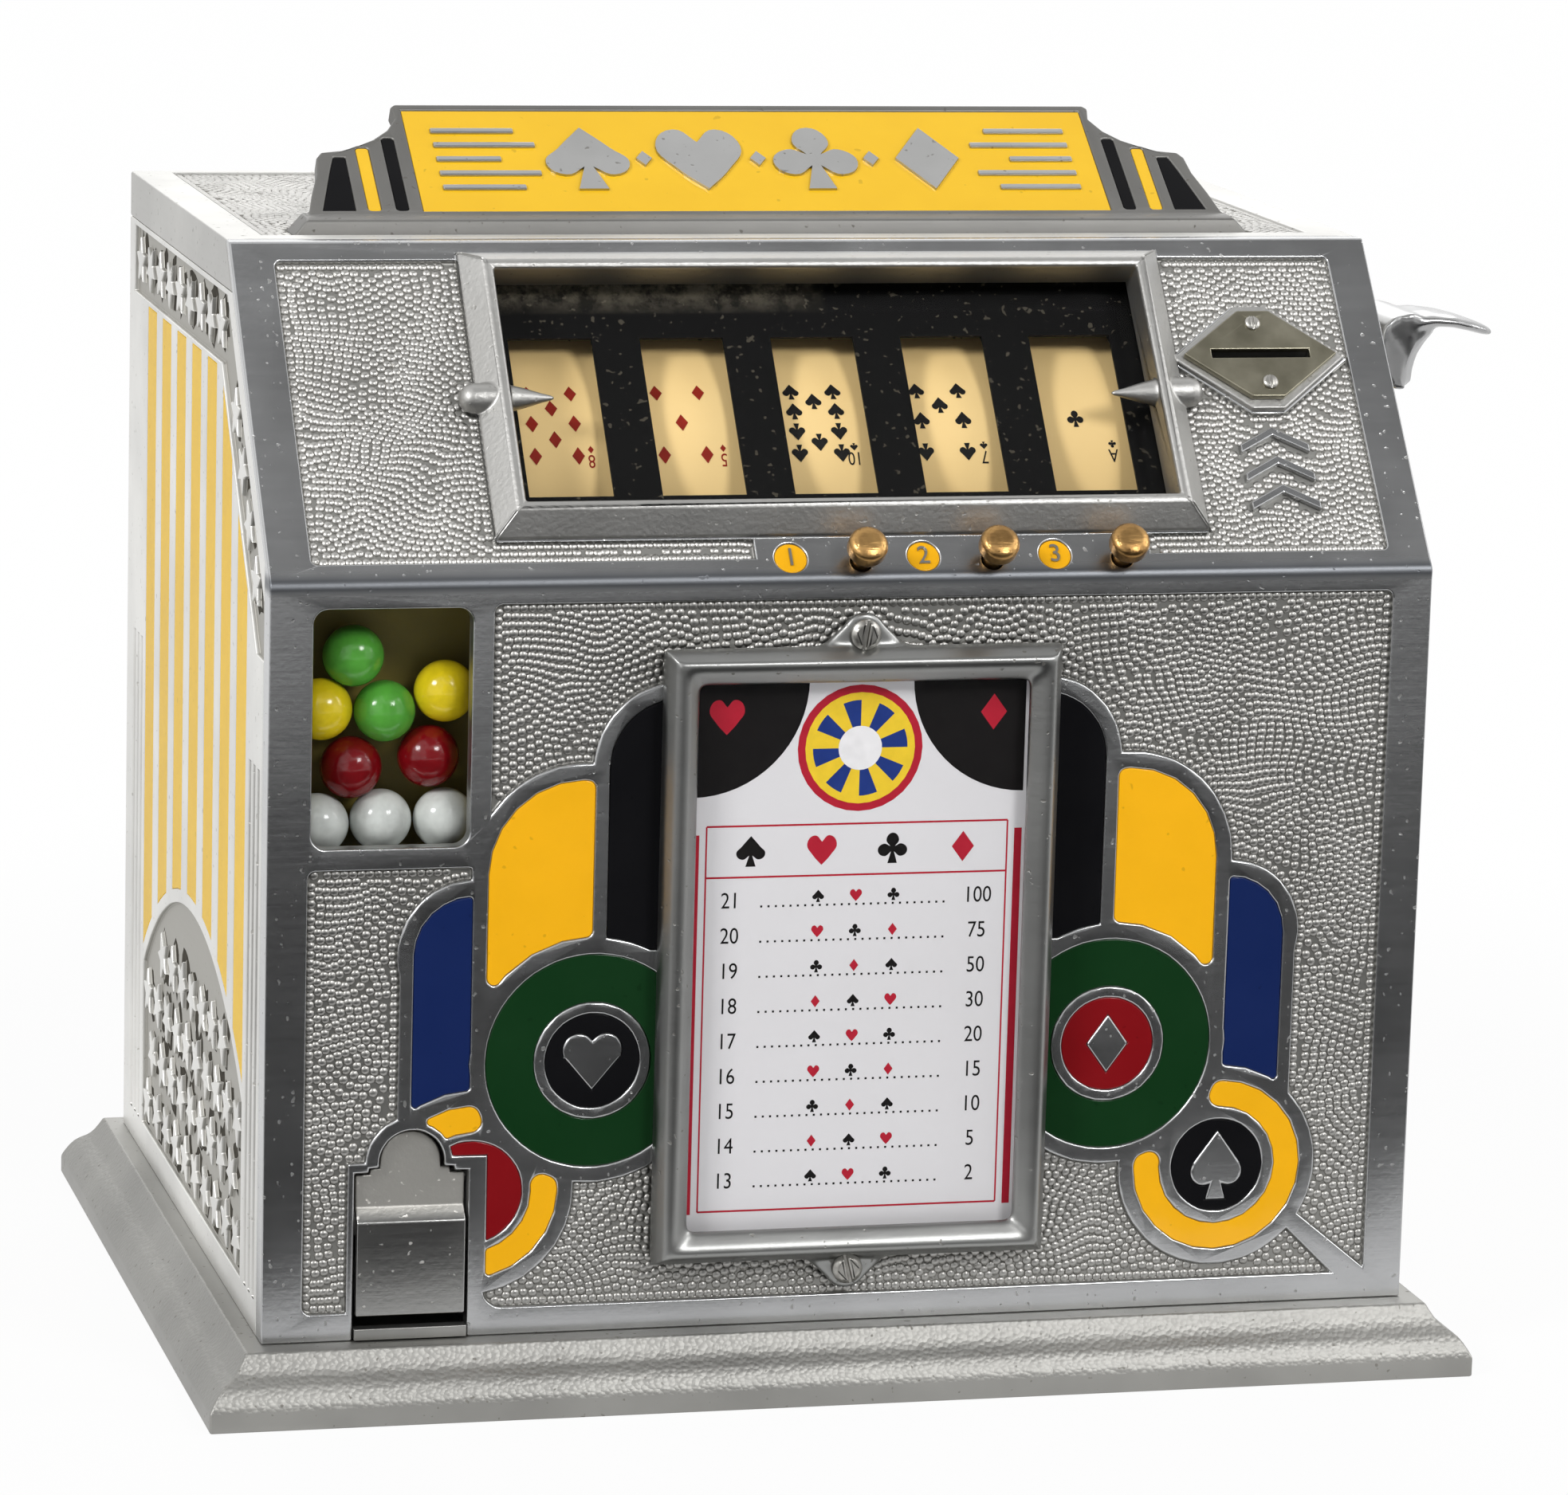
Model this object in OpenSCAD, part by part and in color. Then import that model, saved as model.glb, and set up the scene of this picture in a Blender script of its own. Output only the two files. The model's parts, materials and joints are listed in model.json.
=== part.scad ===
// Counter-top card machine: a cast aluminium cabinet on a flared plinth,
// five card reels behind a sloped window, and a ball gum vender at the left.
// Millimetres. X to the right, Y to the back, Z up; the origin is the middle
// of the face that it stands on.

/* [Plinth] */
// Width of the plinth at the table
base_w = 270; // [262:1:300]
// Depth of the plinth at the table
base_d = 211; // [202:1:240]
// Height of the plinth, up to the ledge that carries the cabinet
base_h = 14.6; // [13:0.2:24]
// Height of the upright rim below the flare
base_rim = 4.2; // [3:0.2:6]
// Flat ledge beside the cabinet
ledge_x = 3.9; // [1:0.1:6]
// Flat ledge in front of and behind the cabinet
ledge_y = 5.5; // [1:0.1:6]
// Thickness of the plinth's floor
floor_t = 4; // [3:0.5:6]
// Thickness of the steel bottom plate
plate_t = 1.5; // [1:0.25:2.5]

/* [Cabinet] */
// Width of the cabinet
body_w = 245; // [238:1:252]
// Depth of the cabinet
body_d = 185.2; // [182:0.5:192]
// Height of the upright front, from the plinth up to the knee
knee_h = 156.9; // [154:0.5:162]
// Height of the sloped panel
slope_h = 62.6; // [58:0.2:66]
// How far the sloped panel runs back
slope_run = 53.5; // [50:0.5:58]
// Wall of the castings
wall = 4; // [3.4:0.2:4.6]
// Depth of the front casting's side returns
return_d = 6.6; // [5:0.2:9]
// Front casting's level top edge, before the lid starts
lid_lap = 4.1; // [3:0.1:5]
// Height of the lid's skirt
skirt_h = 10.1; // [7:0.1:14]
// Thickness of the rear door
door_t = 3; // [2:0.25:4]
// Depth of the pebbled fields
pebble_depth = 1.1; // [0.6:0.1:1.4]
// Depth of the pockets for enamel
enamel_depth = 1; // [0.6:0.1:1.4]
// How far the enamel lies below the metal
enamel_low = 0.25; // [0.1:0.05:0.4]
// Clearance between parts that are seated or screwed together
seat = 0.3; // [0.2:0.05:0.4]

/* [Front relief] */
// Metal border round each enamel field
border = 3.5; // [2.5:0.1:4]
// Height of the green rings' centre
green_z = 72; // [68:0.5:76]
// Distance of the green rings from the middle
green_x = 55; // [53:0.5:58]
// Outer radius of the green rings
green_r = 22.3; // [20:0.1:23]
// Inner radius of the green rings
green_in = 12.3; // [11:0.1:14]
// Radius of the suit discs in the green rings
disc_r = 9.9; // [8:0.1:10.5]
// Height of the small yellow rings' centre
small_z = 45; // [43:0.5:47]
// Distance of the small yellow rings from the middle
small_x = 80; // [78:0.5:81]
// Outer radius of the small yellow rings
small_r = 18.2; // [17:0.1:19]
// Inner radius of the small yellow rings
small_in = 12.7; // [11:0.1:14]
// Radius of the arched tops of the yellow fans
fan_r = 19.3; // [18:0.1:20]
// Radius of the arched tops of the blue fins
fin_r = 12; // [11:0.1:13]
// Radius of the arched tops of the black fields
column_r = 14; // [12:0.1:15]

/* [Gum window and vender] */
// Left edge of the gum window, from the middle
gum_x = -113.5; // [-114.5:0.5:-112]
// Width of the gum window
gum_w = 32.5; // [30:0.5:33]
// Sill of the gum window above the table
gum_z = 117.5; // [116:0.5:119]
// Height of the gum window
gum_h = 49; // [46:0.5:50]
// Diameter of a gum ball
ball_d = 12.7; // [12:0.1:12.7]
// Left edge of the vend door, from the middle
vend_x = -103; // [-103.5:0.1:-102.5]
// Width of the vend door
vend_w = 22.6; // [20:0.1:22.8]
// Top of the vend door's flap, above the table
vend_top = 51.5; // [50:0.5:52]
// Radius of the vend door's thumb tab
tab_r = 6.3; // [5:0.1:7]
// Sheet of the gum hopper and of both chutes
sheet = 1; // [0.8:0.1:1.1]
// Stroke of the gum slide
slide_stroke = 20; // [18:0.5:20]

/* [Reel window] */
// Half width of the window's opening
window_x = 69; // [66:0.5:70]
// Lower edge of the opening, up the slope from the knee
window_lo = 17.2; // [16:0.1:19]
// Upper edge of the opening, up the slope from the knee
window_hi = 74.2; // [70:0.1:75]
// How far the window's frame stands proud
window_proud = 5; // [3:0.2:7]
// Thickness of the reel glass
reel_glass_t = 3; // [2:0.25:3]
// Thickness of the black reel mask
mask_t = 0.8; // [0.5:0.1:1]

/* [Reels] */
// Radius of the reel drums
reel_r = 43.7; // [41:0.1:43.7]
// Width of a reel drum
reel_w = 21; // [19:0.5:21]
// Distance between neighbouring reels
reel_pitch = 28; // [27.6:0.1:28.4]
// Radius of the fixed reel shaft
shaft_r = 3; // [2.5:0.1:4]
// Notches in a star wheel, one for each card
cards = 8; // [8:1:12]
// Radius of a star wheel
star_r = 17; // [15:0.5:17]
// Radial clearance of running fits
run_fit = 0.05; // [0.02:0.01:0.09]
// Half angle that a shutter covers
shutter_half = 25; // [22:0.5:25]
// Angle through which a shutter closes
shutter_turn = 52; // [50:1:54]

/* [Buttons] */
// Distance between the shutter buttons
button_pitch = 27.8; // [27:0.1:28.5]
// Radius of a button's cap
button_r = 4.1; // [3.5:0.1:4.5]
// Radius of a button's stem
stem_r = 1.9; // [1.5:0.1:2.2]
// Travel of a button
button_travel = 3; // [2:0.25:3]

/* [Award frame] */
// Width of the award frame
award_w = 83.6; // [80:0.2:85]
// Height of the award frame
award_h = 128.6; // [124:0.2:130]
// Height of the award frame's middle above the table
award_z = 93.3; // [92:0.1:95]
// How far the award frame stands proud
award_proud = 7; // [6:0.2:9]
// Width of the award frame's bars
award_bar = 7.2; // [6:0.2:8]

/* [Lever] */
// Height of the lever's axis above the table
lever_z = 186; // [183:0.5:188]
// Lever's axis behind the cabinet's front
lever_behind = 127.6; // [126.6:0.5:129.6]
// Radius of the lever shaft
lever_r = 5; // [4:0.25:5.5]
// Turn of the lever, from rest to its stop
lever_turn = 35; // [30:1:38]

/* [Marquee] */
// Half width of the marquee's top edge
marquee_top = 77.6; // [75:0.1:80]
// Length of the marquee's face, up its lean
marquee_h = 41.5; // [40:0.1:44]
// Lean of the face away from level
marquee_lean = 34; // [30:0.5:40]
// Thickness of the marquee's plate
marquee_t = 4; // [3:0.25:5]
// Half length of the foot that the marquee stands on
marquee_half = 104; // [98:0.5:106]
// Marquee's middle, beside the middle of the cabinet
marquee_x = -2.5; // [-3:0.1:3]

/* [Hidden] */
$fn = 64;
eps = 0.01;
far = 300;

// Planes and heights of the cabinet
front_y = -body_d/2;
lever_y = front_y + lever_behind;
back_y = body_d/2;
half_w = body_w/2;
inner_x = half_w - wall;
knee_z = base_h + knee_h;
top_z = knee_z + slope_h;
slope_a = atan2(slope_h, slope_run);
slope_len = norm([slope_run, slope_h]);
lid_front = front_y + slope_run + lid_lap;
lid_z = top_z - skirt_h;
floor_z = base_h;
lid_field = 0.8;

// A point in the side view, t up the slope from the knee, h out of it
function on_slope(t, h) = [
    front_y + t*cos(slope_a) - h*sin(slope_a),
    knee_z + t*sin(slope_a) + h*cos(slope_a)];

// Points of a round of radius r at corner b of the outline a, b, c
function round_corner(a, b, c, r, n = 6) =
    let (u = (a - b)/norm(a - b), v = (c - b)/norm(c - b),
        half = acos(u*v)/2, d = r/tan(half),
        m = (u + v)/norm(u + v), o = b + m*r/sin(half),
        p = b + u*d - o, q = b + v*d - o,
        full = acos((p*q)/(r*r)),
        way = (p[0]*q[1] - p[1]*q[0]) > 0 ? 1 : -1)
    [for (i = [0:n]) let (k = way*full*i/n)
        o + [p[0]*cos(k) - p[1]*sin(k), p[0]*sin(k) + p[1]*cos(k)]];

// Drawing planes: children lie in XY with +Z out of the surface
module on_front() translate([0, front_y, 0]) rotate([90, 0, 0]) children();
module on_sloped() translate([0, front_y, knee_z]) rotate([slope_a, 0, 0]) children();
module on_left() translate([-half_w, 0, 0]) rotate([90, 0, -90]) children();
module on_right() translate([half_w, 0, 0]) rotate([90, 0, 90]) children();
module on_marquee() translate([marquee_x, marquee_y, top_z])
    rotate([marquee_lean, 0, 0]) children();

// A side-view outline, drawn in Y and Z, drawn out along X
module along_x(x0, x1) translate([x0, 0, 0]) rotate([90, 0, 90])
    linear_extrude(x1 - x0) children();
// A cut from above the surface down to a depth
module sunk(depth) translate([0, 0, -depth]) linear_extrude(depth + 1) children();
// A fill that lies in such a cut and stays below the metal
module filled(depth, low) translate([0, 0, -depth]) linear_extrude(depth - low) children();
module box(x0, x1, y0, y1, z0, z1) translate([x0, y0, z0])
    cube([x1 - x0, y1 - y0, z1 - z0]);
module rect(x0, x1, y0, y1) translate([x0, y0]) square([x1 - x0, y1 - y0]);
module disc(x, y, r) translate([x, y]) circle(r);
module round_rect(x0, x1, y0, y1, r) {
    rect(x0 + r, x1 - r, y0, y1);
    rect(x0, x1, y0 + r, y1 - r);
    for (x = [x0 + r, x1 - r], y = [y0 + r, y1 - r])
        disc(x, y, r);
}
module rod(x0, x1, y, z, r) translate([x0, y, z]) rotate([0, 90, 0])
    cylinder(h = x1 - x0, r = r);

// Four mitred bars round a w by h rectangle; the profile gives points of
// distance inwards and height
module mitred_bar(l, profile, m) intersection() {
    translate([-l/2, 0, 0]) rotate([90, 0, 90]) linear_extrude(l) polygon(profile);
    translate([0, 0, -2]) linear_extrude(40)
        polygon([[-l/2 - eps, 0], [l/2 + eps, 0], [l/2 - m + eps, m], [-l/2 + m - eps, m]]);
}
module mitred_frame(w, h, profile, m) for (side = [0:3])
    rotate([0, 0, 90*side])
        translate([0, side % 2 == 0 ? -h/2 : -w/2, 0])
            mitred_bar(side % 2 == 0 ? w : h, profile, m);

// A wound wire: turns of radius r from z0 up to z1, wire of radius wire_r
wire_sides = 6;
wire_steps = 10;
function wire_point(k, j, turns, r, z0, z1, wire_r) =
    let (f = k/(turns*wire_steps), a = 360*f*turns, b = 360*j/wire_sides,
        rr = r + wire_r*cos(b))
    [rr*cos(a), rr*sin(a), z0 + (z1 - z0)*f + wire_r*sin(b)];
module wound_spring(turns, r, z0, z1, wire_r) {
    n = turns*wire_steps;
    s = wire_sides;
    points = [for (k = [0:n], j = [0:s - 1])
        wire_point(k, j, turns, r, z0 + wire_r, z1 - wire_r, wire_r)];
    walls = [for (k = [0:n - 1], j = [0:s - 1])
        each [[k*s + j, k*s + (j + 1) % s, (k + 1)*s + j],
            [k*s + (j + 1) % s, (k + 1)*s + (j + 1) % s, (k + 1)*s + j]]];
    ends = [for (j = [1:s - 2]) each [[0, j + 1, j], [n*s, n*s + j, n*s + j + 1]]];
    polyhedron(points, concat(walls, ends));
}

// Plinth

base_y0 = base_d/2;
base_x0 = base_w/2;
flare_x = base_x0 - half_w - ledge_x;
flare_y = base_y0 - body_d/2 - ledge_y;
flare_steps = 10;
base_wall = 5;
rebate = 3;

// Height of the flare at share s of its width: an ogee
function flare_z(s) = base_rim + (base_h - base_rim)*(s + 0.08*sin(360*s));
function flare_half(out, w) = [for (i = [0:flare_steps])
    let (s = i/flare_steps) [out - w*s, flare_z(s)]];
function flare_outline(out, w) = concat([[-out, 0], [out, 0]], flare_half(out, w),
    [for (i = [flare_steps:-1:0]) let (p = flare_half(out, w)[i]) [-p[0], p[1]]]);

screw_r = 2;
boss = 10;
boss_h = 14;
boss_x = inner_x - boss/2;
boss_ys = [front_y + return_d + 3 + boss/2, back_y - wall - boss/2 - 1];
post_r = 5.5;
post_x = half_w - 14;
post_y = body_d/2 - 30;

module base_plinth() color("silver") difference() {
    union() {
        difference() {
            intersection() {
                rotate([90, 0, 0]) translate([0, 0, -base_y0])
                    linear_extrude(base_d) polygon(flare_outline(base_x0, flare_x));
                along_x(-base_x0, base_x0) polygon(flare_outline(base_y0, flare_y));
            }
            box(-half_w, half_w, front_y, back_y, -1, base_h - floor_t);
            box(-half_w - rebate, half_w + rebate, front_y - rebate, back_y + rebate,
                -1, plate_t);
        }
        for (x = [-post_x, post_x], y = [-post_y, post_y])
            translate([x, y, plate_t]) cylinder(h = base_h - floor_t - plate_t + 1, r = post_r);
    }
    for (x = [-boss_x, boss_x], y = boss_ys)
        translate([x, y, 0]) cylinder(h = base_h + 1, r = screw_r + 0.2);
    for (x = [-foot_x, foot_x], y = foot_ys)
        translate([x, y, base_h - 3]) cylinder(h = 4, r = foot_screw_r);
    for (x = [-post_x, post_x], y = [-post_y, post_y])
        translate([x, y, -1]) cylinder(h = plate_t + 8, r = foot_screw_r);
}

module bottom_plate() color("dimgray") difference() {
    box(-half_w - rebate + seat, half_w + rebate - seat, front_y - rebate + seat,
        back_y + rebate - seat, 0, plate_t);
    for (x = [-post_x, post_x], y = [-post_y, post_y])
        translate([x, y, -1]) cylinder(h = plate_t + 2, r = csk_r + 0.2);
}

// Front relief, drawn for the right half; art_x is the middle of the pattern

art_x = 0.5;
column_x_out = 52.5;
column_x = column_x_out - column_r;
column_z = 133;
fan_x = 58;
fan_z = 111.3;
fan_left = 55.5;
fin_left = 80.5;
fin_z = 95;
fan_corner = 1.5;
fin_corner = 0.8;
ring_corner = 2.3;
ring_border = green_r + border;
small_border = small_r + border - 0.1;
field_lo = 20.5;
field_hi = knee_z - 4.5;
field_x0 = -76.5;
field_x1 = 114;
field_corner = 1.6;
vend_corner = 4;

// Rounds off the outer corners of an outline
module softened(r) offset(r = r, $fn = 24) offset(delta = -r) children();
module ring(x, y, r, r_in) difference() {
    disc(x, y, r);
    disc(x, y, r_in);
}
module black_column() difference() {
    union() {
        rect(38, column_x_out, 95, column_z);
        disc(column_x, column_z, column_r);
    }
    disc(green_x, green_z, ring_border);
    rect(0, 36, 0, 200);
}
module yellow_fan() softened(fan_corner) difference() {
    intersection() {
        union() {
            disc(fan_x, fan_z, fan_r);
            rect(fan_left, fan_x + fan_r, 85, fan_z);
        }
        rect(fan_left, fan_x + fan_r, 85, fan_z + fan_r);
    }
    disc(green_x, green_z, ring_border + 0.3);
}
module blue_fin() softened(fin_corner) difference() {
    intersection() {
        union() {
            disc(fin_left, fin_z, fin_r);
            rect(fin_left, fin_left + fin_r, 60, fin_z);
        }
        rect(fin_left, fin_left + fin_r, 60, fin_z + fin_r);
    }
    disc(small_x, small_z, small_border);
    disc(green_x, green_z, ring_border);
}
module green_ring() ring(green_x, green_z, green_r, green_in);
module yellow_ring() softened(ring_corner) difference() {
    ring(small_x, small_z, small_r, small_in);
    disc(green_x, green_z, ring_border);
}
// The metal that carries and borders the enamel
module relief_metal() {
    rect(0, column_x_out + border, green_z, column_z);
    disc(column_x, column_z, column_r + border);
    disc(fan_x, fan_z, fan_r + border);
    rect(fan_x, fan_x + fan_r + border, green_z, fan_z);
    disc(fin_left, fin_z, fin_r + border);
    rect(green_x, fin_left + fin_r + border - 0.6, small_z + 12, fin_z);
    disc(green_x, green_z, ring_border);
    disc(small_x, small_z, small_border);
}
module both_halves() translate([art_x, 0]) {
    children();
    mirror([1, 0]) children();
}
module tail_band() polygon([[95, 32], [98, 34.5], [114.5, 21], [114.5, 17], [110.5, 17]]);

vend_x1 = vend_x + vend_w;
vend_mid = (vend_x + vend_x1)/2;
vend_gap = 0.6;
tab_z = vend_top + 0.3;
surround = 3.4;

module vend_surround() {
    rect(vend_x - surround + 1.4, vend_x1 + surround + 3, 0, vend_top + 0.5);
    disc(vend_mid, tab_z, tab_r + surround);
}
// Left enamel stops short of the vend door
module clear_of_vend() difference() {
    children();
    rect(vend_x - 8, vend_x1 + 4.4, 0, vend_top + 1.4);
    disc(vend_mid, tab_z, tab_r + 2.2);
}
module field(x0, x1, y0, y1, r) {
    rect(x0 + r, x1 - r, y0, y1);
    rect(x0, x1, y0 + r, y1 - r);
    for (x = [x0 + r, x1 - r], y = [y0 + r, y1 - r]) disc(x, y, r);
}
module main_field() difference() {
    field(field_x0, field_x1, field_lo, field_hi, field_corner);
    both_halves() relief_metal();
    tail_band();
    difference() {
        rect(field_x0 - 1, field_x0 + vend_corner, field_lo - 1, field_lo + vend_corner);
        disc(field_x0 + vend_corner, field_lo + vend_corner, vend_corner);
    }
}
module lower_left_field() difference() {
    field(-field_x1, -79.5, field_lo, 113, field_corner);
    both_halves() relief_metal();
    vend_surround();
}

// Card suits, drawn about their own middle, w wide and h high
module diamond(w, h) polygon([[w/2, 0], [0, h/2], [-w/2, 0], [0, -h/2]]);
module heart(w, h) {
    r = w*0.27;
    for (s = [-1, 1]) disc(s*(w/2 - r), h/2 - r, r);
    polygon([[-w*0.475, h*0.1], [-w*0.25, h*0.35], [0, h*0.28], [w*0.25, h*0.35],
        [w*0.475, h*0.1], [0, -h/2]]);
}
module spade(w, h) {
    r = w*0.26;
    for (s = [-1, 1]) disc(s*(w/2 - r), -h*0.1, r);
    polygon([[0, h/2], [w*0.46, h*0.02], [w*0.3, -h*0.2], [-w*0.3, -h*0.2],
        [-w*0.46, h*0.02]]);
    polygon([[0, 0], [w*0.2, -h/2], [-w*0.2, -h/2]]);
}

// Front casting

knee_in_z = knee_z - wall*tan((90 - slope_a)/2);
side_lap = (front_y + return_d - lid_front)*slope_h/slope_run;
knee_round = 2.5;
crest_round = 1.4;
function front_outline() = concat(
    [[front_y, floor_z]],
    round_corner([front_y, floor_z], [front_y, knee_z], on_slope(slope_len, 0), knee_round),
    round_corner([front_y, knee_z], on_slope(slope_len, 0), [lid_front, top_z], crest_round),
    [[lid_front, top_z]]);
// Edge between the front casting and the side panel, from the lid down
function return_line() = [[lid_front, top_z], [front_y + return_d, top_z + side_lap],
    [front_y + return_d, floor_z]];

frame_w = 151;
frame_lo = 10;
frame_hi = 79;
crest_in = 4.1;
pointer_t = 43;
pointer_tip = 59.5;
coin_x = 93.4;
coin_t = 51.7;
coin_w = 33.7;
coin_h = 21.3;
coin_flat = 7;
coin_boss = 2.4;
coin_boss_h = 1.2;
coin_plate_t = 1.5;
slot_l = 21.6;
slot_w = 2;
slope_field_x = 113.5;
slope_field_lo = 5;
slope_field_hi = 77.5;
plain_x0 = -22;
plain_x1 = 62;
disc_t = 4.9;
disc_x0 = -14.7;
number_r = 3.4;
button_t = 3.8;
button_x0 = 0;
number_pitch = button_pitch + 0.2;
glass_seat = 0.2;

module lozenge(w, h, flat) polygon([[w/2, 0], [flat/2, h/2], [-flat/2, h/2],
    [-w/2, 0], [-flat/2, -h/2], [flat/2, -h/2]]);
module slope_fields() difference() {
    field(-slope_field_x, slope_field_x, slope_field_lo, slope_field_hi, 1.2);
    rect(-frame_w/2, frame_w/2, frame_lo - eps, 100);
    rect(plain_x0, plain_x1, 0, frame_lo + 1);
    translate([coin_x, coin_t]) lozenge(coin_w + 2*coin_boss, coin_h + 2*coin_boss, coin_flat);
}
module window_frame() translate([0, (frame_lo + frame_hi)/2, 0]) {
    m = frame_w/2 - window_x;
    mitred_frame(frame_w, frame_hi - frame_lo, [[0, -2], [0, 0.6],
        [crest_in, window_proud - 0.4], [crest_in + 0.5, window_proud],
        [m - 0.6, window_proud], [m, window_proud - 0.6], [m, -2]], m);
}
module pointer(side) mirror([side > 0 ? 0 : 1, 0, 0]) translate([0, pointer_t, 1.2])
    rotate([0, 90, 0]) {
        rotate_extrude() polygon([[0, pointer_tip], [0.4, pointer_tip + 0.2],
            [1.1, pointer_tip + 3], [2, pointer_tip + 6], [3, window_x + 0.5],
            [3.2, window_x + 1.5], [3.2, window_x + 7.4], [2.8, window_x + 8.9],
            [1.7, window_x + 10], [0, window_x + 10.4]]);
    }

// Opening in the front wall for the vend door, and the pocket behind it
// where the tab swings
vend_lip = 1.4;
module vend_opening() on_front() {
    translate([0, 0, -wall - 1]) linear_extrude(wall + 2) {
        rect(vend_x - vend_gap, vend_x1 + vend_gap, 0, vend_top - 1.6);
        rect(vend_x + 2.4, vend_x1 - 2.4, 0, vend_top - 0.6);
        disc(vend_mid, tab_z, tab_r + 0.5);
    }
    translate([0, 0, -wall - 1]) linear_extrude(wall + 1 - vend_lip) {
        rect(vend_x - vend_gap, vend_x1 + vend_gap, 0, vend_top + 2.5);
        disc(vend_mid, tab_z, tab_r + 1.8);
    }
}

module front_casting() color("silver") difference() {
    union() {
        difference() {
            intersection() {
                along_x(-half_w, half_w) polygon(concat(front_outline(),
                    [on_slope(slope_len, -20), [0, floor_z]]));
                union() {
                    along_x(-half_w, half_w) polygon(concat([[front_y - 1, floor_z],
                        [front_y - 1, top_z]], return_line()));
                    along_x(-inner_x, inner_x) polygon([[front_y - 1, floor_z],
                        [front_y - 1, top_z], [lid_front, top_z],
                        [lid_front, top_z - wall], on_slope(slope_len - 2, -wall),
                        [front_y + wall, knee_in_z], [front_y + wall, floor_z]]);
                }
            }
            on_sloped() {
                translate([0, 0, -wall - 8]) linear_extrude(wall + 20)
                    rect(-window_x, window_x, window_lo, window_hi);
                sunk(pebble_depth) slope_fields();
            }
            along_x(-inner_x, inner_x) polygon([[front_y + wall, floor_z - 1],
                [front_y + wall, knee_in_z], on_slope(slope_len - 2, -wall),
                [lid_front, top_z - wall], [lid_front + 30, top_z - wall],
                [lid_front + 30, floor_z - 1]]);
        }
        on_sloped() {
            window_frame();
            for (s = [-1, 1]) pointer(s);
            translate([coin_x, coin_t, -1.5]) linear_extrude(1.5 + coin_boss_h)
                lozenge(coin_w + 2*coin_boss - 0.6, coin_h + 2*coin_boss - 0.6, coin_flat);
        }
    }
    on_front() {
        sunk(pebble_depth) {
            main_field();
            lower_left_field();
        }
        sunk(enamel_depth) {
            front_yellow();
            front_black();
            front_blue();
            front_green();
            front_red();
        }
        translate([0, 0, -wall - 1]) linear_extrude(wall + 2)
            round_rect(gum_x, gum_x + gum_w, gum_z, gum_z + gum_h, 3);
        for (z = award_screw_zs)
            translate([0, z, -wall - 1]) cylinder(h = wall + 2, r = award_screw_r);
    }
    vend_opening();
    on_sloped() {
        sunk(enamel_depth) number_discs();
        for (i = [0:2])
            translate([button_x0 + i*button_pitch, button_t, -14])
                cylinder(h = 20, r = stem_r + 0.35);
        translate([coin_x, coin_t, -wall - 1]) linear_extrude(wall + 4)
            rect(-slot_l/2 - 0.4, slot_l/2 + 0.4, -slot_w/2 - 0.4, slot_w/2 + 0.4);
        for (p = coin_screw_at)
            translate([coin_x + p[0], coin_t + p[1], -wall - 1])
                cylinder(h = wall + 3, r = coin_screw_r);
    }
}

module right_suit_disc(x, z, r) difference() {
    disc(x, z, r);
    children();
}
module front_yellow() {
    both_halves() yellow_fan();
    translate([art_x, 0]) yellow_ring();
    softened(fin_corner) clear_of_vend() translate([art_x, 0]) mirror([1, 0]) yellow_ring();
}
module front_black() {
    both_halves() black_column();
    right_suit_disc(art_x - green_x, green_z, disc_r)
        translate([art_x - green_x, green_z - 0.3]) heart(12.5, 12);
    right_suit_disc(art_x + small_x, small_z, disc_r)
        translate([art_x + small_x, small_z]) spade(11.3, 15);
}
module front_blue() clear_of_vend() both_halves() blue_fin();
module front_green() both_halves() green_ring();
module front_red() {
    right_suit_disc(art_x + green_x, green_z, disc_r)
        translate([art_x + green_x, green_z]) diamond(9, 12.6);
    clear_of_vend() disc(art_x - small_x, small_z, disc_r + 0.9);
}
module number_discs() for (i = [0:2])
    disc(disc_x0 + i*number_pitch, disc_t, number_r);

module enamel_yellow() color("gold") {
    on_front() filled(enamel_depth, enamel_low) front_yellow();
    on_sloped() filled(enamel_depth, enamel_low) number_discs();
}
module enamel_black() color("black") on_front()
    filled(enamel_depth, enamel_low) front_black();
module enamel_blue() color("navy") on_front()
    filled(enamel_depth, enamel_low) front_blue();
module enamel_green() color("darkgreen") on_front()
    filled(enamel_depth, enamel_low) front_green();
module enamel_red() color("firebrick") on_front()
    filled(enamel_depth, enamel_low) front_red();

// Side panels, drawn with the front of the cabinet to the right

stripe_count = 7;
stripe_pitch = 20;
stripe_w = 12;
band_w = 17;
arch_half = 67;
arch_low = 62;
arch_rise = 25.5;
arch_r = (arch_half*arch_half + arch_rise*arch_rise)/(2*arch_rise);
arch_z = arch_low + arch_rise - arch_r;
side_lo = 21.5;
star_r_out = 5.6;
star_rows = 5;
star_cols = 10;
star_pitch_x = 13.2;
star_pitch_z = 12.6;
flute_r = 1.6;
flute_xs = [71.5, 76.5, 81.5];
pilaster = 86;

module star(r, turn) rotate(turn) polygon([for (i = [0:9])
    let (q = i % 2 == 0 ? r : r*0.42) [q*sin(36*i), q*cos(36*i)]]);
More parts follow.
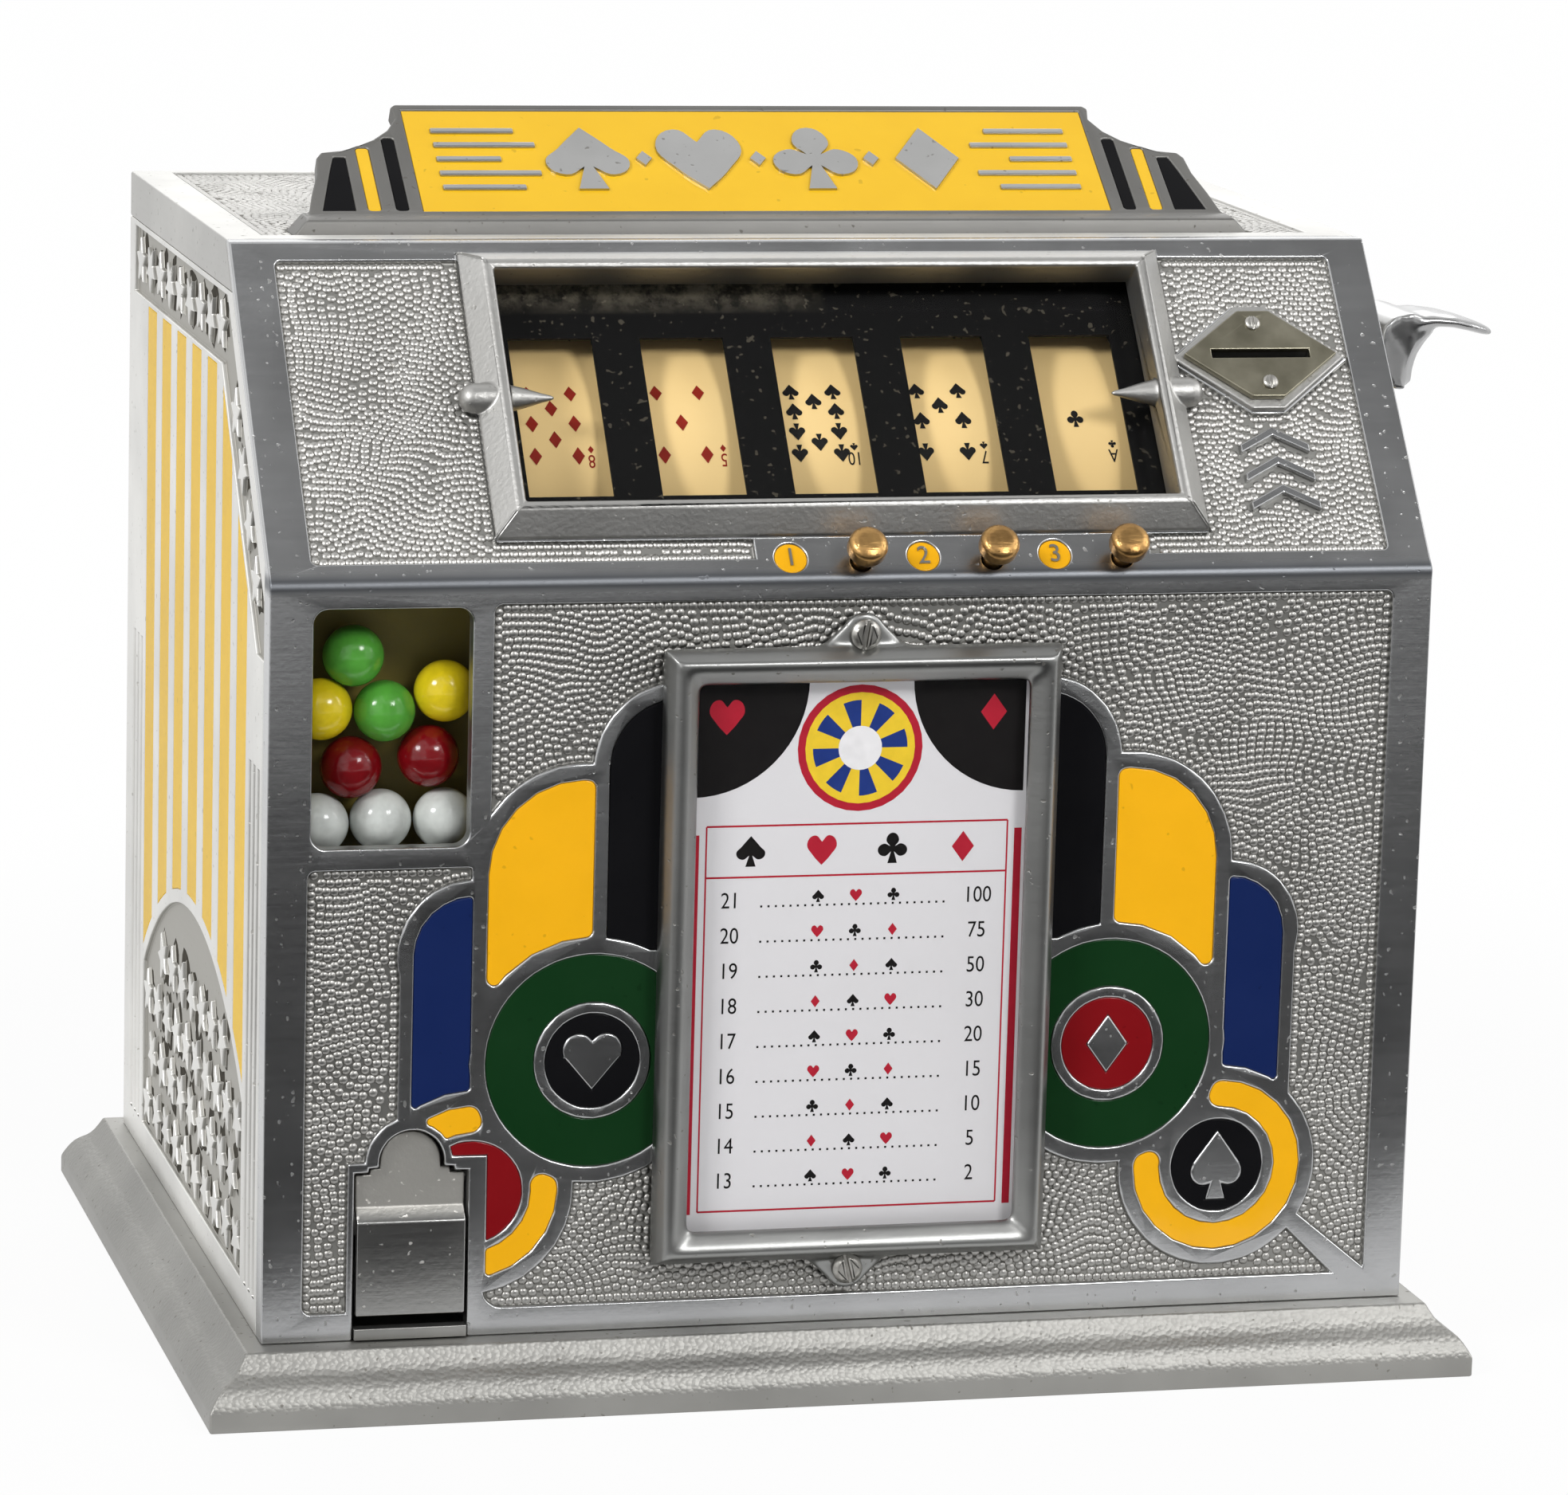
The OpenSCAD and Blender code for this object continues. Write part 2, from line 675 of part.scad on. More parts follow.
// What lies below the slope in a side view, moved in by d
module slope_edge(d) polygon([[-far, 0], [-front_y, 0],
    [-front_y, knee_z - d/cos(slope_a)],
    [-front_y - 2*slope_run, knee_z + 2*slope_h - d/cos(slope_a)],
    [-far, knee_z + 2*slope_h - d/cos(slope_a)]]);
module stripe_field() intersection() {
    for (i = [0:stripe_count - 1])
        rect((i - 3)*stripe_pitch - stripe_w/2, (i - 3)*stripe_pitch + stripe_w/2, 40, lid_z - band_w);
    slope_edge(return_d + band_w);
    difference() {
        rect(-far, far, 0, far);
        disc(0, arch_z, arch_r);
    }
}
module arch_field() intersection() {
    disc(0, arch_z, arch_r - 3);
    rect(-arch_half + 1, arch_half - 1, side_lo, 100);
}
module arch_stars() for (row = [0:star_rows - 1], col = [0:star_cols - 1]) {
    x = (col - (star_cols - 1)/2)*star_pitch_x + (row % 2 == 0 ? 0 : star_pitch_x/2);
    z = side_lo + 6.5 + row*star_pitch_z;
    if (abs(x) < arch_half - 6 && norm([x, z - arch_z]) < arch_r - 9.5)
        translate([x, z]) star(star_r_out, 37*row + 53*col);
}
module band_field() difference() {
    intersection() {
        rect(-pilaster, far, 100, lid_z - 1.2);
        slope_edge(return_d + 1.5);
    }
    intersection() {
        rect(-pilaster - 1, far, 0, lid_z - band_w + 1);
        slope_edge(return_d + band_w - 1);
    }
    rect(82, far, 0, 155);
    rect(-far, far, 0, 155);
}
module band_stars() {
    for (i = [0:8])
        translate([-pilaster + 8 + i*13.4, lid_z - band_w/2]) star(star_r_out, 36*i);
    for (i = [0:3]) {
        p = on_slope(10 + i*13.4, -return_d - band_w/2);
        translate([-p[0], p[1]]) star(star_r_out, 24*i);
    }
}

// Outline of a side panel in the side view, Y and Z
function side_outline() = [[front_y + return_d, floor_z],
    [front_y + return_d, top_z + side_lap],
    [lid_front - skirt_h*slope_run/slope_h, lid_z],
    [back_y, lid_z], [back_y, floor_z]];

// At the right a plain boss round the lever shaft interrupts the stripes
module right_stripes() difference() {
    stripe_field();
    disc(-lever_y, lever_z, lever_r + 7);
}

module side_relief() {
    sunk(enamel_depth) children();
    sunk(pebble_depth) difference() {
        arch_field();
        arch_stars();
    }
    sunk(pebble_depth) difference() {
        band_field();
        band_stars();
    }
    for (x = flute_xs, s = [-1, 1])
        translate([s*x, 0, 0.5]) rotate([-90, 0, 0])
            translate([0, 0, side_lo]) cylinder(h = 132 - side_lo, r = flute_r);
}
module side_bosses(s) for (y = boss_ys)
    difference() {
        box(min(s*inner_x, s*(inner_x - boss)) - (s < 0 ? 0.5 : 0),
            max(s*inner_x, s*(inner_x - boss)) + (s > 0 ? 0.5 : 0),
            y - boss/2, y + boss/2, floor_z, floor_z + boss_h);
        translate([s*boss_x, y, floor_z - 1]) cylinder(h = boss_h - 1, r = screw_r);
    }

hinge_x = -half_w + 2.7;
hinge_y = back_y + 2.3;
hinge_r = 2.2;
hinge_pin_r = 1.2;
hinge_zs = [60, 182];
knuckle = 7;

// A knuckle at height z, l long, with its leaf reaching along the back
module hinge_knuckle(z, l, leaf_x) difference() {
    union() {
        translate([hinge_x, hinge_y, z]) cylinder(h = l, r = hinge_r);
        box(min(leaf_x, hinge_x), max(leaf_x, hinge_x), back_y, back_y + 1.2, z, z + l);
    }
    translate([hinge_x, hinge_y, z - 1]) cylinder(h = l + 2, r = hinge_pin_r + run_fit);
}

module side_panel_left() color("silver") {
    difference() {
        along_x(-half_w, -inner_x) polygon(side_outline());
        on_left() side_relief() stripe_field();
    }
    side_bosses(-1);
    for (z = hinge_zs, k = [-1.5, 0.5])
        hinge_knuckle(z + k*knuckle, knuckle, -half_w + 0.4);
}
strike_z = 120;
module side_panel_right() color("silver") {
    difference() {
        along_x(inner_x, half_w) polygon(side_outline());
        on_right() mirror([1, 0, 0]) side_relief() right_stripes();
        rod(inner_x - 1, half_w + 1, lever_y, lever_z, lever_r + run_fit);
    }
    side_bosses(1);
    box(inner_x - 4.5, inner_x + 0.5, strike_y, strike_y + 2, strike_z - 8, strike_z + 8);
}
module stripes_left() color("gold") on_left()
    filled(enamel_depth, enamel_low) stripe_field();
module stripes_right() color("gold") on_right() mirror([1, 0, 0])
    filled(enamel_depth, enamel_low) right_stripes();

// Lid

field_edge = 9;
module top_lid() color("silver") difference() {
    intersection() {
        box(-half_w, half_w, lid_front - 20, back_y, lid_z, top_z);
        along_x(-half_w, half_w) polygon([[lid_front, top_z], [back_y, top_z],
            [back_y, lid_z], [lid_front - skirt_h*slope_run/slope_h, lid_z]]);
    }
    box(-inner_x, inner_x, lid_front - 20, back_y - wall, lid_z - 1, top_z - wall);
    along_x(-inner_x, inner_x) polygon([[lid_front - 20, lid_z - 1],
        [lid_front, lid_z - 1], [lid_front, top_z + 1], [lid_front - 20, top_z + 1]]);
    box(-half_w + field_edge, half_w - field_edge, lid_front + 7, back_y - 4.3,
        top_z - lid_field, top_z + 1);
    for (x = gusset_xs)
        translate([marquee_x + x, gusset_screw_y, top_z - wall - 1])
            cylinder(h = wall + 2, r = screw_r);
}

// Marquee

marquee_y = lid_front + 11.2;
marquee_foot = top_z - lid_field;
gusset_xs = [-62, 0, 62];
gusset_t = 8;
gusset_screw_y = marquee_y + 27;
marquee_edge = 1.9;
// Right half of the face, from the foot up
function marquee_side() = [[100.7, 2], [98.2, 12.4], [96.2, 19], [95.6, 24], [94.4, 25.8],
    [90, 26.4], [86.5, 27.7], [82.6, 30], [79.2, 33], [marquee_top - 0.8, 37],
    [marquee_top - 0.2, marquee_h - 1], [marquee_top - 1.2, marquee_h]];
function flipped(points) = [for (i = [len(points) - 1:-1:0]) [-points[i][0], points[i][1]]];
module marquee_face() polygon(concat(marquee_side(), flipped(marquee_side())));
module marquee_panel() rect(-marquee_top + 2.4, marquee_top - 2.4, 6.8, marquee_h - marquee_edge);
module marquee_bars(x0, x1, hi) for (s = [-1, 1])
    round_rect(min(s*x0, s*x1), max(s*x0, s*x1), 7, hi, 0.8);
module marquee_wedges() for (s = [0, 1]) mirror([s, 0])
    polygon([[89.4, 24.3], [92, 24.3], [93.2, 20], [96.6, 7], [89.6, 7]]);

module marquee() color("silver") {
    // Under side of the leaning plate, in the side view
    c = cos(marquee_lean);
    s = sin(marquee_lean);
    under = [marquee_y + (marquee_t - 1)*s, top_z - (marquee_t - 1)*c];
    difference() {
        union() {
            intersection() {
                on_marquee() translate([0, 0, -marquee_t]) linear_extrude(marquee_t) marquee_face();
                box(-far, far, -far, far, marquee_foot, far);
            }
            intersection() {
                along_x(marquee_x - marquee_half, marquee_x + marquee_half) polygon([
                    [marquee_y - 1, marquee_foot], [marquee_y - 0.2, marquee_foot + 3.2],
                    [marquee_y + 2, marquee_foot + 3.8], [marquee_y + 9, marquee_foot + 3.8],
                    [marquee_y + 9, marquee_foot]]);
                translate([marquee_x, 0, marquee_foot]) rotate([90, 0, 0])
                    translate([0, 0, -far]) linear_extrude(2*far)
                        polygon([[-marquee_half, 0], [marquee_half, 0],
                            [marquee_half - 3.6, 4], [3.6 - marquee_half, 4]]);
            }
            for (x = gusset_xs)
                along_x(marquee_x + x - gusset_t/2, marquee_x + x + gusset_t/2) polygon([
                    [marquee_y + 6, marquee_foot], [marquee_y + 36, marquee_foot],
                    [marquee_y + 36, marquee_foot + 4],
                    under + [c, s]*(marquee_h - 3), under + [c, s]*8]);
        }
        on_marquee() {
            sunk(enamel_depth) marquee_panel();
            sunk(enamel_depth) marquee_bars(84.1, 86.9, 27.3);
            sunk(enamel_depth) marquee_bars(78.2, 80.9, 30.5);
            sunk(enamel_depth) marquee_wedges();
        }
        for (x = gusset_xs)
            translate([marquee_x + x, gusset_screw_y, marquee_foot - 1])
                cylinder(h = 8, r = screw_r);
    }
}
module marquee_yellow() color("gold") on_marquee() filled(enamel_depth, enamel_low) {
    marquee_panel();
    marquee_bars(84.1, 86.9, 27.3);
}
module marquee_black() color("black") on_marquee() filled(enamel_depth, enamel_low) {
    marquee_bars(78.2, 80.9, 30.5);
    marquee_wedges();
}

// Award frame, its glass and card

award_screw_r = 1.6;
award_head_r = 3.2;
award_ear_t = 2.4;
award_screw_zs = [award_z + award_h/2 + 2.6, award_z - award_h/2 - 2.4];
award_rebate = 3;
card_t = 0.4;
award_glass_t = 2;
card_gap = 0.2;
award_in_w = award_w - 2*award_bar;
award_in_h = award_h - 2*award_bar;

module award_ear_shape() intersection() {
    union() {
        disc(0, award_h/2 + 2.4, 4.6);
        polygon([[-13, award_h/2 - 1], [13, award_h/2 - 1], [8, award_h/2 + 0.8],
            [4, award_h/2 + 4.6], [-4, award_h/2 + 4.6], [-8, award_h/2 + 0.8]]);
    }
    rect(-20, 20, award_h/2 - 3, award_h/2 + 8);
}
module award_frame() color("silver") translate([0, 0, award_z]) on_front() difference() {
    union() {
        difference() {
            mitred_frame(award_w, award_h, [[0, 0], [0, award_proud*0.5],
                [2.2, award_proud], [3.8, award_proud],
                [award_bar, award_proud*0.62], [award_bar, 0]], award_bar);
            translate([0, 0, -1]) linear_extrude(1 + award_rebate)
                rect(-award_in_w/2 - 2.5, award_in_w/2 + 2.5,
                    -award_in_h/2 - 2.5, award_in_h/2 + 2.5);
        }
        for (s = [0, 1]) mirror([0, s, 0]) linear_extrude(award_ear_t) award_ear_shape();
    }
    for (s = [0, 1]) mirror([0, s, 0]) translate([0, award_h/2 + 2.6 - s*0.2, 0]) {
        translate([0, 0, -1]) cylinder(h = 5, r = award_screw_r + 0.2);
        translate([0, 0, award_ear_t]) cylinder(h = award_proud, r = award_head_r + 0.3);
    }
}
module award_glass() color("lightblue", 0.4) translate([0, 0, award_z]) on_front()
    translate([0, 0, card_gap + card_t]) linear_extrude(award_glass_t)
        rect(-award_in_w/2 - 2.2, award_in_w/2 + 2.2, -award_in_h/2 - 2.2, award_in_h/2 + 2.2);
module award_card() color("white") translate([0, 0, award_z]) on_front()
    translate([0, 0, card_gap]) linear_extrude(card_t)
        rect(-award_in_w/2 - 2, award_in_w/2 + 2, -award_in_h/2 - 2, award_in_h/2 + 2);

// A screw with a slotted round head, pointing down from z = 0
module slotted_screw(r, head_r, head_h, l, slot) difference() {
    union() {
        translate([0, 0, -l]) cylinder(h = l, r = r);
        cylinder(h = head_h*0.5, r = head_r);
        translate([0, 0, head_h*0.5]) cylinder(h = head_h*0.5, r1 = head_r, r2 = head_r*0.7);
    }
    translate([-slot/2, -head_r - 1, head_h*0.45]) cube([slot, 2*head_r + 2, head_h]);
}
module award_screws() color("gainsboro") on_front()
    for (z = award_screw_zs)
        translate([0, z, award_ear_t]) rotate([0, 0, z > award_z ? -8 : 14])
            slotted_screw(award_screw_r, award_head_r, 1.6, wall + 1.4, 0.8);

// Coin plate

coin_screw_at = [[-0.6, 7.4], [0.8, -7.2]];
coin_screw_r = 0.9;
module coin_plate() color("tan") on_sloped() translate([coin_x, coin_t, coin_boss_h])
    linear_extrude(coin_plate_t) difference() {
        lozenge(coin_w, coin_h, coin_flat);
        rect(-slot_l/2, slot_l/2, -slot_w/2, slot_w/2);
        for (p = coin_screw_at) disc(p[0], p[1], coin_screw_r + 0.1);
    }
module coin_plate_screws() color("gainsboro") on_sloped()
    for (p = coin_screw_at)
        translate([coin_x + p[0], coin_t + p[1], coin_boss_h + coin_plate_t])
            slotted_screw(coin_screw_r, 1.7, 0.8, wall + coin_boss_h, 0.5);

// Reel window glass and mask

mask_h = wall + glass_seat + reel_glass_t + seat;
mask_half = 79;
pane_half = 74;
slit_w = 17.8;
slit_x = -0.6;
slit_lo = 24.2;
slit_hi = 62.5;
module reel_glass() color("lightblue", 0.4) on_sloped()
    translate([0, 0, -wall - glass_seat - reel_glass_t]) linear_extrude(reel_glass_t)
        rect(-pane_half, pane_half, window_lo - 3.5, window_hi + 3);
module reel_mask() color("black") on_sloped()
    translate([0, 0, -mask_h - mask_t]) linear_extrude(mask_t) difference() {
        rect(-pane_half, pane_half, window_lo - 3.5, window_hi + 3);
        for (i = [0:4])
            rect(reel_x(i) + slit_x - slit_w/2, reel_x(i) + slit_x + slit_w/2, slit_lo, slit_hi);
    }

// Reels and what carries them

reel_gap = 3.2;
pay_t = 44.25;
function reel_x(i) = (i - 2)*reel_pitch;
reel_at = on_slope(pay_t, -mask_h - mask_t - reel_gap - reel_r);
reel_y = reel_at[0];
reel_z = reel_at[1];
rim_t = 2.2;
web_t = 1.5;
hub_r = 7;
star_t = 1.5;
star_off = reel_w/2 + 0.5;
hub_end = reel_w/2 + 2;
notch_r = 3;

module at_reel(i) translate([reel_x(i), reel_y, reel_z]) rotate([0, 90, 0]) children();
// The reel's own axis is Z here, with the star wheel at the right-hand end
module reel_body(i) color("wheat") at_reel(i) difference() {
    union() {
        rotate_extrude($fn = 128) {
            translate([reel_r - rim_t, -reel_w/2]) square([rim_t, reel_w]);
            translate([hub_r - 1, -web_t/2]) square([reel_r - rim_t - hub_r + 2, web_t]);
            translate([shaft_r + run_fit, -reel_w/2])
                square([hub_r - shaft_r - run_fit, hub_end + reel_w/2]);
        }
        difference() {
            translate([0, 0, star_off]) cylinder(h = star_t, r = star_r);
            for (k = [0:cards - 1]) rotate([0, 0, 360*k/cards])
                translate([star_r + 1, 0, star_off - 1]) cylinder(h = star_t + 2, r = notch_r);
            translate([0, 0, star_off - 1]) cylinder(h = star_t + 2, r = hub_r - 1);
        }
    }
    for (k = [0:4]) rotate([0, 0, 72*k + 36])
        translate([(hub_r + reel_r)/2, 0, -web_t]) cylinder(h = 2*web_t, r = 9);
}
module reel_1() reel_body(0);
module reel_2() reel_body(1);
module reel_3() reel_body(2);
module reel_4() reel_body(3);
module reel_5() reel_body(4);

frame_x = 2*reel_pitch + reel_w/2 + 6.5;
frame_t = 2;
module reel_shaft() color("gray") {
    rod(-frame_x - frame_t - 2.5, frame_x + frame_t + 2.5, reel_y, reel_z, shaft_r);
    for (x = [-frame_x - frame_t - 2, frame_x + frame_t + seat])
        rod(x, x + 1.7, reel_y, reel_z, shaft_r + 2.5);
}

foot_x = frame_x - 5;
foot_ys = [-36, 48];
foot_screw_r = 1.5;
foot_w = 10;
plate_y0 = -50;
plate_y1 = 62;
plate_hi = 200;
spring_y = lever_y + 22;
spring_peg_z = 122;
module mech_frame() difference() {
    union() {
        along_x(frame_x, frame_x + frame_t) polygon([[plate_y0, floor_z], [plate_y1, floor_z],
            [plate_y1, plate_hi], [plate_y0 + 20, plate_hi], [plate_y0, plate_hi - 15]]);
        box(frame_x - foot_w, frame_x + frame_t, plate_y0, plate_y1, floor_z, floor_z + 1.5);
    }
    rod(frame_x - 1, frame_x + frame_t + 1, reel_y, reel_z, shaft_r);
    rod(frame_x - 1, frame_x + frame_t + 1, lever_y, lever_z, lever_r + run_fit);
    for (y = foot_ys) translate([foot_x, y, floor_z - 1]) cylinder(h = 4, r = foot_screw_r);
}
module mech_frame_left() color("darkgray") mirror([1, 0, 0]) mech_frame();
module mech_frame_right() color("darkgray") {
    mech_frame();
    rod(frame_x + frame_t - 0.5, spring_x + 4, spring_y, spring_peg_z - 2, 2);
}

// A comb of flat springs: each nose lies in a notch of its star wheel
comb_t = 0.8;
comb_y = reel_y + reel_r - 1.8;
comb_z = reel_z - 0.68*reel_r;
nose_z = reel_z - star_r + 0.8;
module index_springs() color("goldenrod") {
    box(-frame_x + seat, frame_x - seat, comb_y - 6, comb_y + 6, comb_z - 3, comb_z);
    for (i = [0:4])
        along_x(reel_x(i) + star_off + 0.15, reel_x(i) + star_off + star_t - 0.15) polygon([
            [comb_y, comb_z - 1], [comb_y, comb_z + comb_t], [reel_y + 4, nose_z - 1.6],
            [reel_y + 1.5, nose_z - 0.8], [reel_y, nose_z + 0.8], [reel_y - 1.5, nose_z - 0.8],
            [reel_y - 3.4, nose_z - 2.6], [reel_y - 2.8, nose_z - 3.2],
            [reel_y, nose_z - 1], [reel_y + 3.6, nose_z - 2.6]]);
}

// Shutters: curved blades that swing about the reel shaft
shutter_r = reel_r + 1.5;
shutter_t = 0.6;
shutter_arm = 1;
shutter_left = reel_w/2 + 2;
// Direction from the reels' axis to the window, and to the open shutters
pay_angle = 180 - slope_a;
open_angle = pay_angle - shutter_turn;
module sector(r, a0, a1) polygon(concat([[0, 0]], [for (k = [0:8])
    let (a = a0 + (a1 - a0)*k/8) r/cos((a1 - a0)/16)*[cos(a), sin(a)]]));
module shutter(k) color("dimgray") {
    x = reel_x(k + 1);
    a = open_angle;
    translate([0, reel_y, reel_z]) {
        difference() {
            intersection() {
                rod(x - shutter_left, x + reel_w/2 - 0.5, 0, 0, shutter_r + shutter_t);
                along_x(x - shutter_left, x + reel_w/2)
                    sector(shutter_r + 8, a - shutter_half, a + shutter_half);
            }
            rod(x - shutter_left + shutter_arm, x + reel_w/2 + 1, 0, 0, shutter_r);
            rod(x - shutter_left - 1, x, 0, 0, shaft_r + run_fit);
        }
        difference() {
            rod(x - shutter_left - 1.4, x - shutter_left + shutter_arm, 0, 0, 6);
            rod(x - shutter_left - 3, x, 0, 0, shaft_r + run_fit);
        }
    }
}
module shutter_1() shutter(1);
module shutter_2() shutter(2);
module shutter_3() shutter(3);

// Shutter buttons and their springs
cap_h = 5;
cap_lo = button_travel + 0.6;
stem_l = 17;
clip_r = 3.2;
spring_lo = 7.5;
module button(i) color("goldenrod") on_sloped()
    translate([button_x0 + i*button_pitch, button_t, 0]) {
        translate([0, 0, -stem_l]) cylinder(h = stem_l + cap_lo + 1, r = stem_r);
        translate([0, 0, -stem_l + 1]) cylinder(h = 1, r = clip_r);
        rotate_extrude() polygon([[0, cap_lo], [button_r - 0.9, cap_lo], [button_r, cap_lo + 0.8],
            [button_r, cap_lo + 3.4], [button_r - 0.5, cap_lo + 4.2],
            [button_r - 1.6, cap_lo + 4.7], [0, cap_lo + cap_h]]);
    }
module button_1() button(0);
module button_2() button(1);
module button_3() button(2);
module button_springs() color("silver") on_sloped()
    for (i = [0:2]) translate([button_x0 + i*button_pitch, button_t, 0])
        wound_spring(5, stem_r + 0.75, -stem_l + 2, -spring_lo, 0.3);

// Lever and its shaft

lever_in = half_w + 1.6;
hub_w = 10;
arm_y = -50;
arm_z = 212;
spring_x = frame_x + frame_t + 6;
module lever_end(y, z, l, w, h) translate([lever_in, y, z])
    rotate([0, 90, 0]) cylinder(h = w, r = h, $fn = 32);
module lever() color("gainsboro") {
    difference() {
        union() {
            rod(lever_in, lever_in + hub_w, lever_y, lever_z, 9.5);
            hull() {
                rod(lever_in + 0.5, lever_in + hub_w - 0.5, lever_y, lever_z, 8);
                translate([lever_in + 0.5, arm_y + 24, arm_z - 4.6])
                    rotate([0, 90, 0]) cylinder(h = hub_w - 1.4, r = 6, $fn = 32);
            }
        }
        rod(lever_in - 1, lever_in + hub_w + 1, lever_y, lever_z, lever_r);
    }
    // Web of the handle, with a ridge down its front
    hull() {
        for (p = [[0.4, 1.5], [6.6, 0], [12.6, 9]])
            translate([lever_in + p[0], arm_y + p[1], arm_z - 8.2]) cylinder(h = 1, r = 0.5, $fn = 16);
        for (p = [[0.4, 1.5, 3.4], [7, 0, 6], [12.6, 9, 6]])
            translate([lever_in + p[0], arm_y + p[1], arm_z + p[2]]) cylinder(h = 1, r = 0.5, $fn = 16);
        translate([lever_in + 0.5, arm_y + 24, arm_z - 4.6])
            rotate([0, 90, 0]) cylinder(h = 8.6, r = 6, $fn = 32);
    }
    // Thumb pad, drooping a little at its outer end
    hull() {
        translate([lever_in + 6, arm_y + 1, arm_z + 4.4]) cube([2, 21, 3]);
        translate([lever_in + 15, arm_y + 0.4, arm_z + 3.6]) cube([1, 22, 3.4]);
    }
    hull() {
        translate([lever_in + 15, arm_y + 0.4, arm_z + 3.6]) cube([1, 22, 3.4]);
        for (y = [3, 19]) translate([lever_in + 24, arm_y + y, arm_z + 2.6]) cylinder(h = 2.2, r = 2.6);
    }
}
spring_arm_top = lever_z - 5;
module lever_shaft() color("gray") {
    rod(-frame_x - frame_t - 3, lever_in + hub_w, lever_y, lever_z, lever_r);
    rod(inner_x - 3.4, inner_x - 0.4, lever_y, lever_z, lever_r + 3);
    rod(-frame_x - frame_t - 2.4, -frame_x - frame_t - 0.4, lever_y, lever_z, lever_r + 3);
    along_x(spring_x - 1.5, spring_x + 1.5) polygon([[lever_y, lever_z + 5],
        [spring_y + 2, spring_arm_top + 3], [spring_y + 2, spring_arm_top],
        [spring_y - 6, spring_arm_top], [lever_y, lever_z - 6]]);
}
finger_gap = 0.5;
finger_l = norm([lever_y - reel_y, lever_z - reel_z]) - star_r - finger_gap;
module kick_fingers() color("gray") for (i = [0:4]) {
    x0 = reel_x(i) + star_off + 0.15;
    x1 = reel_x(i) + star_off + star_t - 0.15;
    difference() {
        union() {
            rod(x0, x1, lever_y, lever_z, lever_r + 3.5);
            intersection() {
                along_x(x0, x1) polygon([[lever_y, lever_z - 4], [lever_y, lever_z + 4],
                    [lever_y - finger_l - 1, lever_z + 1], [lever_y - finger_l - 1, lever_z - 1]]);
                rod(x0, x1, lever_y, lever_z, finger_l);
            }
        }
        rod(x0 - 1, x1 + 1, lever_y, lever_z, lever_r);
    }
}
module lever_spring() color("silver") translate([spring_x, spring_y, 0])
    wound_spring(14, 4, spring_peg_z + seat, spring_arm_top - seat, 0.55);

// Gum hopper, slide, chute and vend door

pane_y = front_y + wall;
gum_glass_t = 2;
pane_lap = 3.5;
hopper_y0 = pane_y + gum_glass_t + 0.1;
hopper_y1 = hopper_y0 + ball_d + 2.2;
hopper_x0 = -inner_x + seat + sheet;
hopper_x1 = gum_x + gum_w + 3.7;
hopper_floor = gum_z - 14.5;
hopper_hi = gum_z + gum_h + 3.5;
outlet_x = gum_x + 16.5;
outlet_y = (hopper_y0 + hopper_y1)/2;
outlet_r = ball_d/2 + 0.6;
slide_t = 7.4;
slide_hi = hopper_floor - sheet - seat;
slide_lo = slide_hi - slide_t;
chute_hi = slide_lo - seat;
chute_x0 = vend_x - 0.8 - sheet;
chute_x1 = vend_x1 + 0.8 + sheet;
drop_y = outlet_y + slide_stroke;
pin_y = front_y + 6.1;
pin_z = 47;
pin_r = 1;

module gum_glass() color("lightblue", 0.4) box(gum_x - pane_lap, gum_x + gum_w + pane_lap - 0.5,
    pane_y, pane_y + gum_glass_t, gum_z - pane_lap, gum_z + gum_h + pane_lap);
module gum_hopper() color("olive") difference() {
    box(hopper_x0 - sheet, hopper_x1 + sheet, hopper_y0, hopper_y1 + sheet,
        hopper_floor - sheet, hopper_hi);
    box(hopper_x0, hopper_x1, hopper_y0 - 1, hopper_y1, hopper_floor, hopper_hi + 1);
    translate([outlet_x, outlet_y, hopper_floor - 3]) cylinder(h = 6, r = outlet_r);
}
ball_y = hopper_y0 + ball_d/2 + 0.2;
module balls(places) for (p = places)
    translate([p[0], ball_y, p[1]]) sphere(d = ball_d);
// Places in the hopper, X and height, as they lie in the window
green_balls = [[-103.4, 155.2], [-96.8, 143.7]];
yellow_balls = [[-84.4, 147.6], [-109.8, 144.3]];
red_balls = [[-103.6, 132.2], [-87.6, 134.2]];
white_balls = [[-110.2, 120.6], [-97.3, 121.2], [-84.2, 121.2]];
lower_balls = [[-103.7, 109.5], [-90.6, 109.5]];
module gumballs_green() color("green") balls(green_balls);
module gumballs_yellow() color("yellow") balls(yellow_balls);
module gumballs_red() color("red") balls(red_balls);
module gumballs_white() color("white") balls(concat(white_balls, lower_balls));

module gum_slide() color("gray") difference() {
    union() {
        box(outlet_x - 9, outlet_x + 9, outlet_y - 8, outlet_y + 10.5, slide_lo, slide_hi);
        box(outlet_x - 3, outlet_x + 3, outlet_y + 8, 10, slide_lo + 2, slide_lo + 5);
    }
    translate([outlet_x, outlet_y, slide_lo - 1]) cylinder(h = slide_t + 2, r = outlet_r);
}

cup_hi = 64;
duct_y0 = drop_y - 9;
duct_y1 = drop_y + 9;
cup_lo = floor_z + seat;
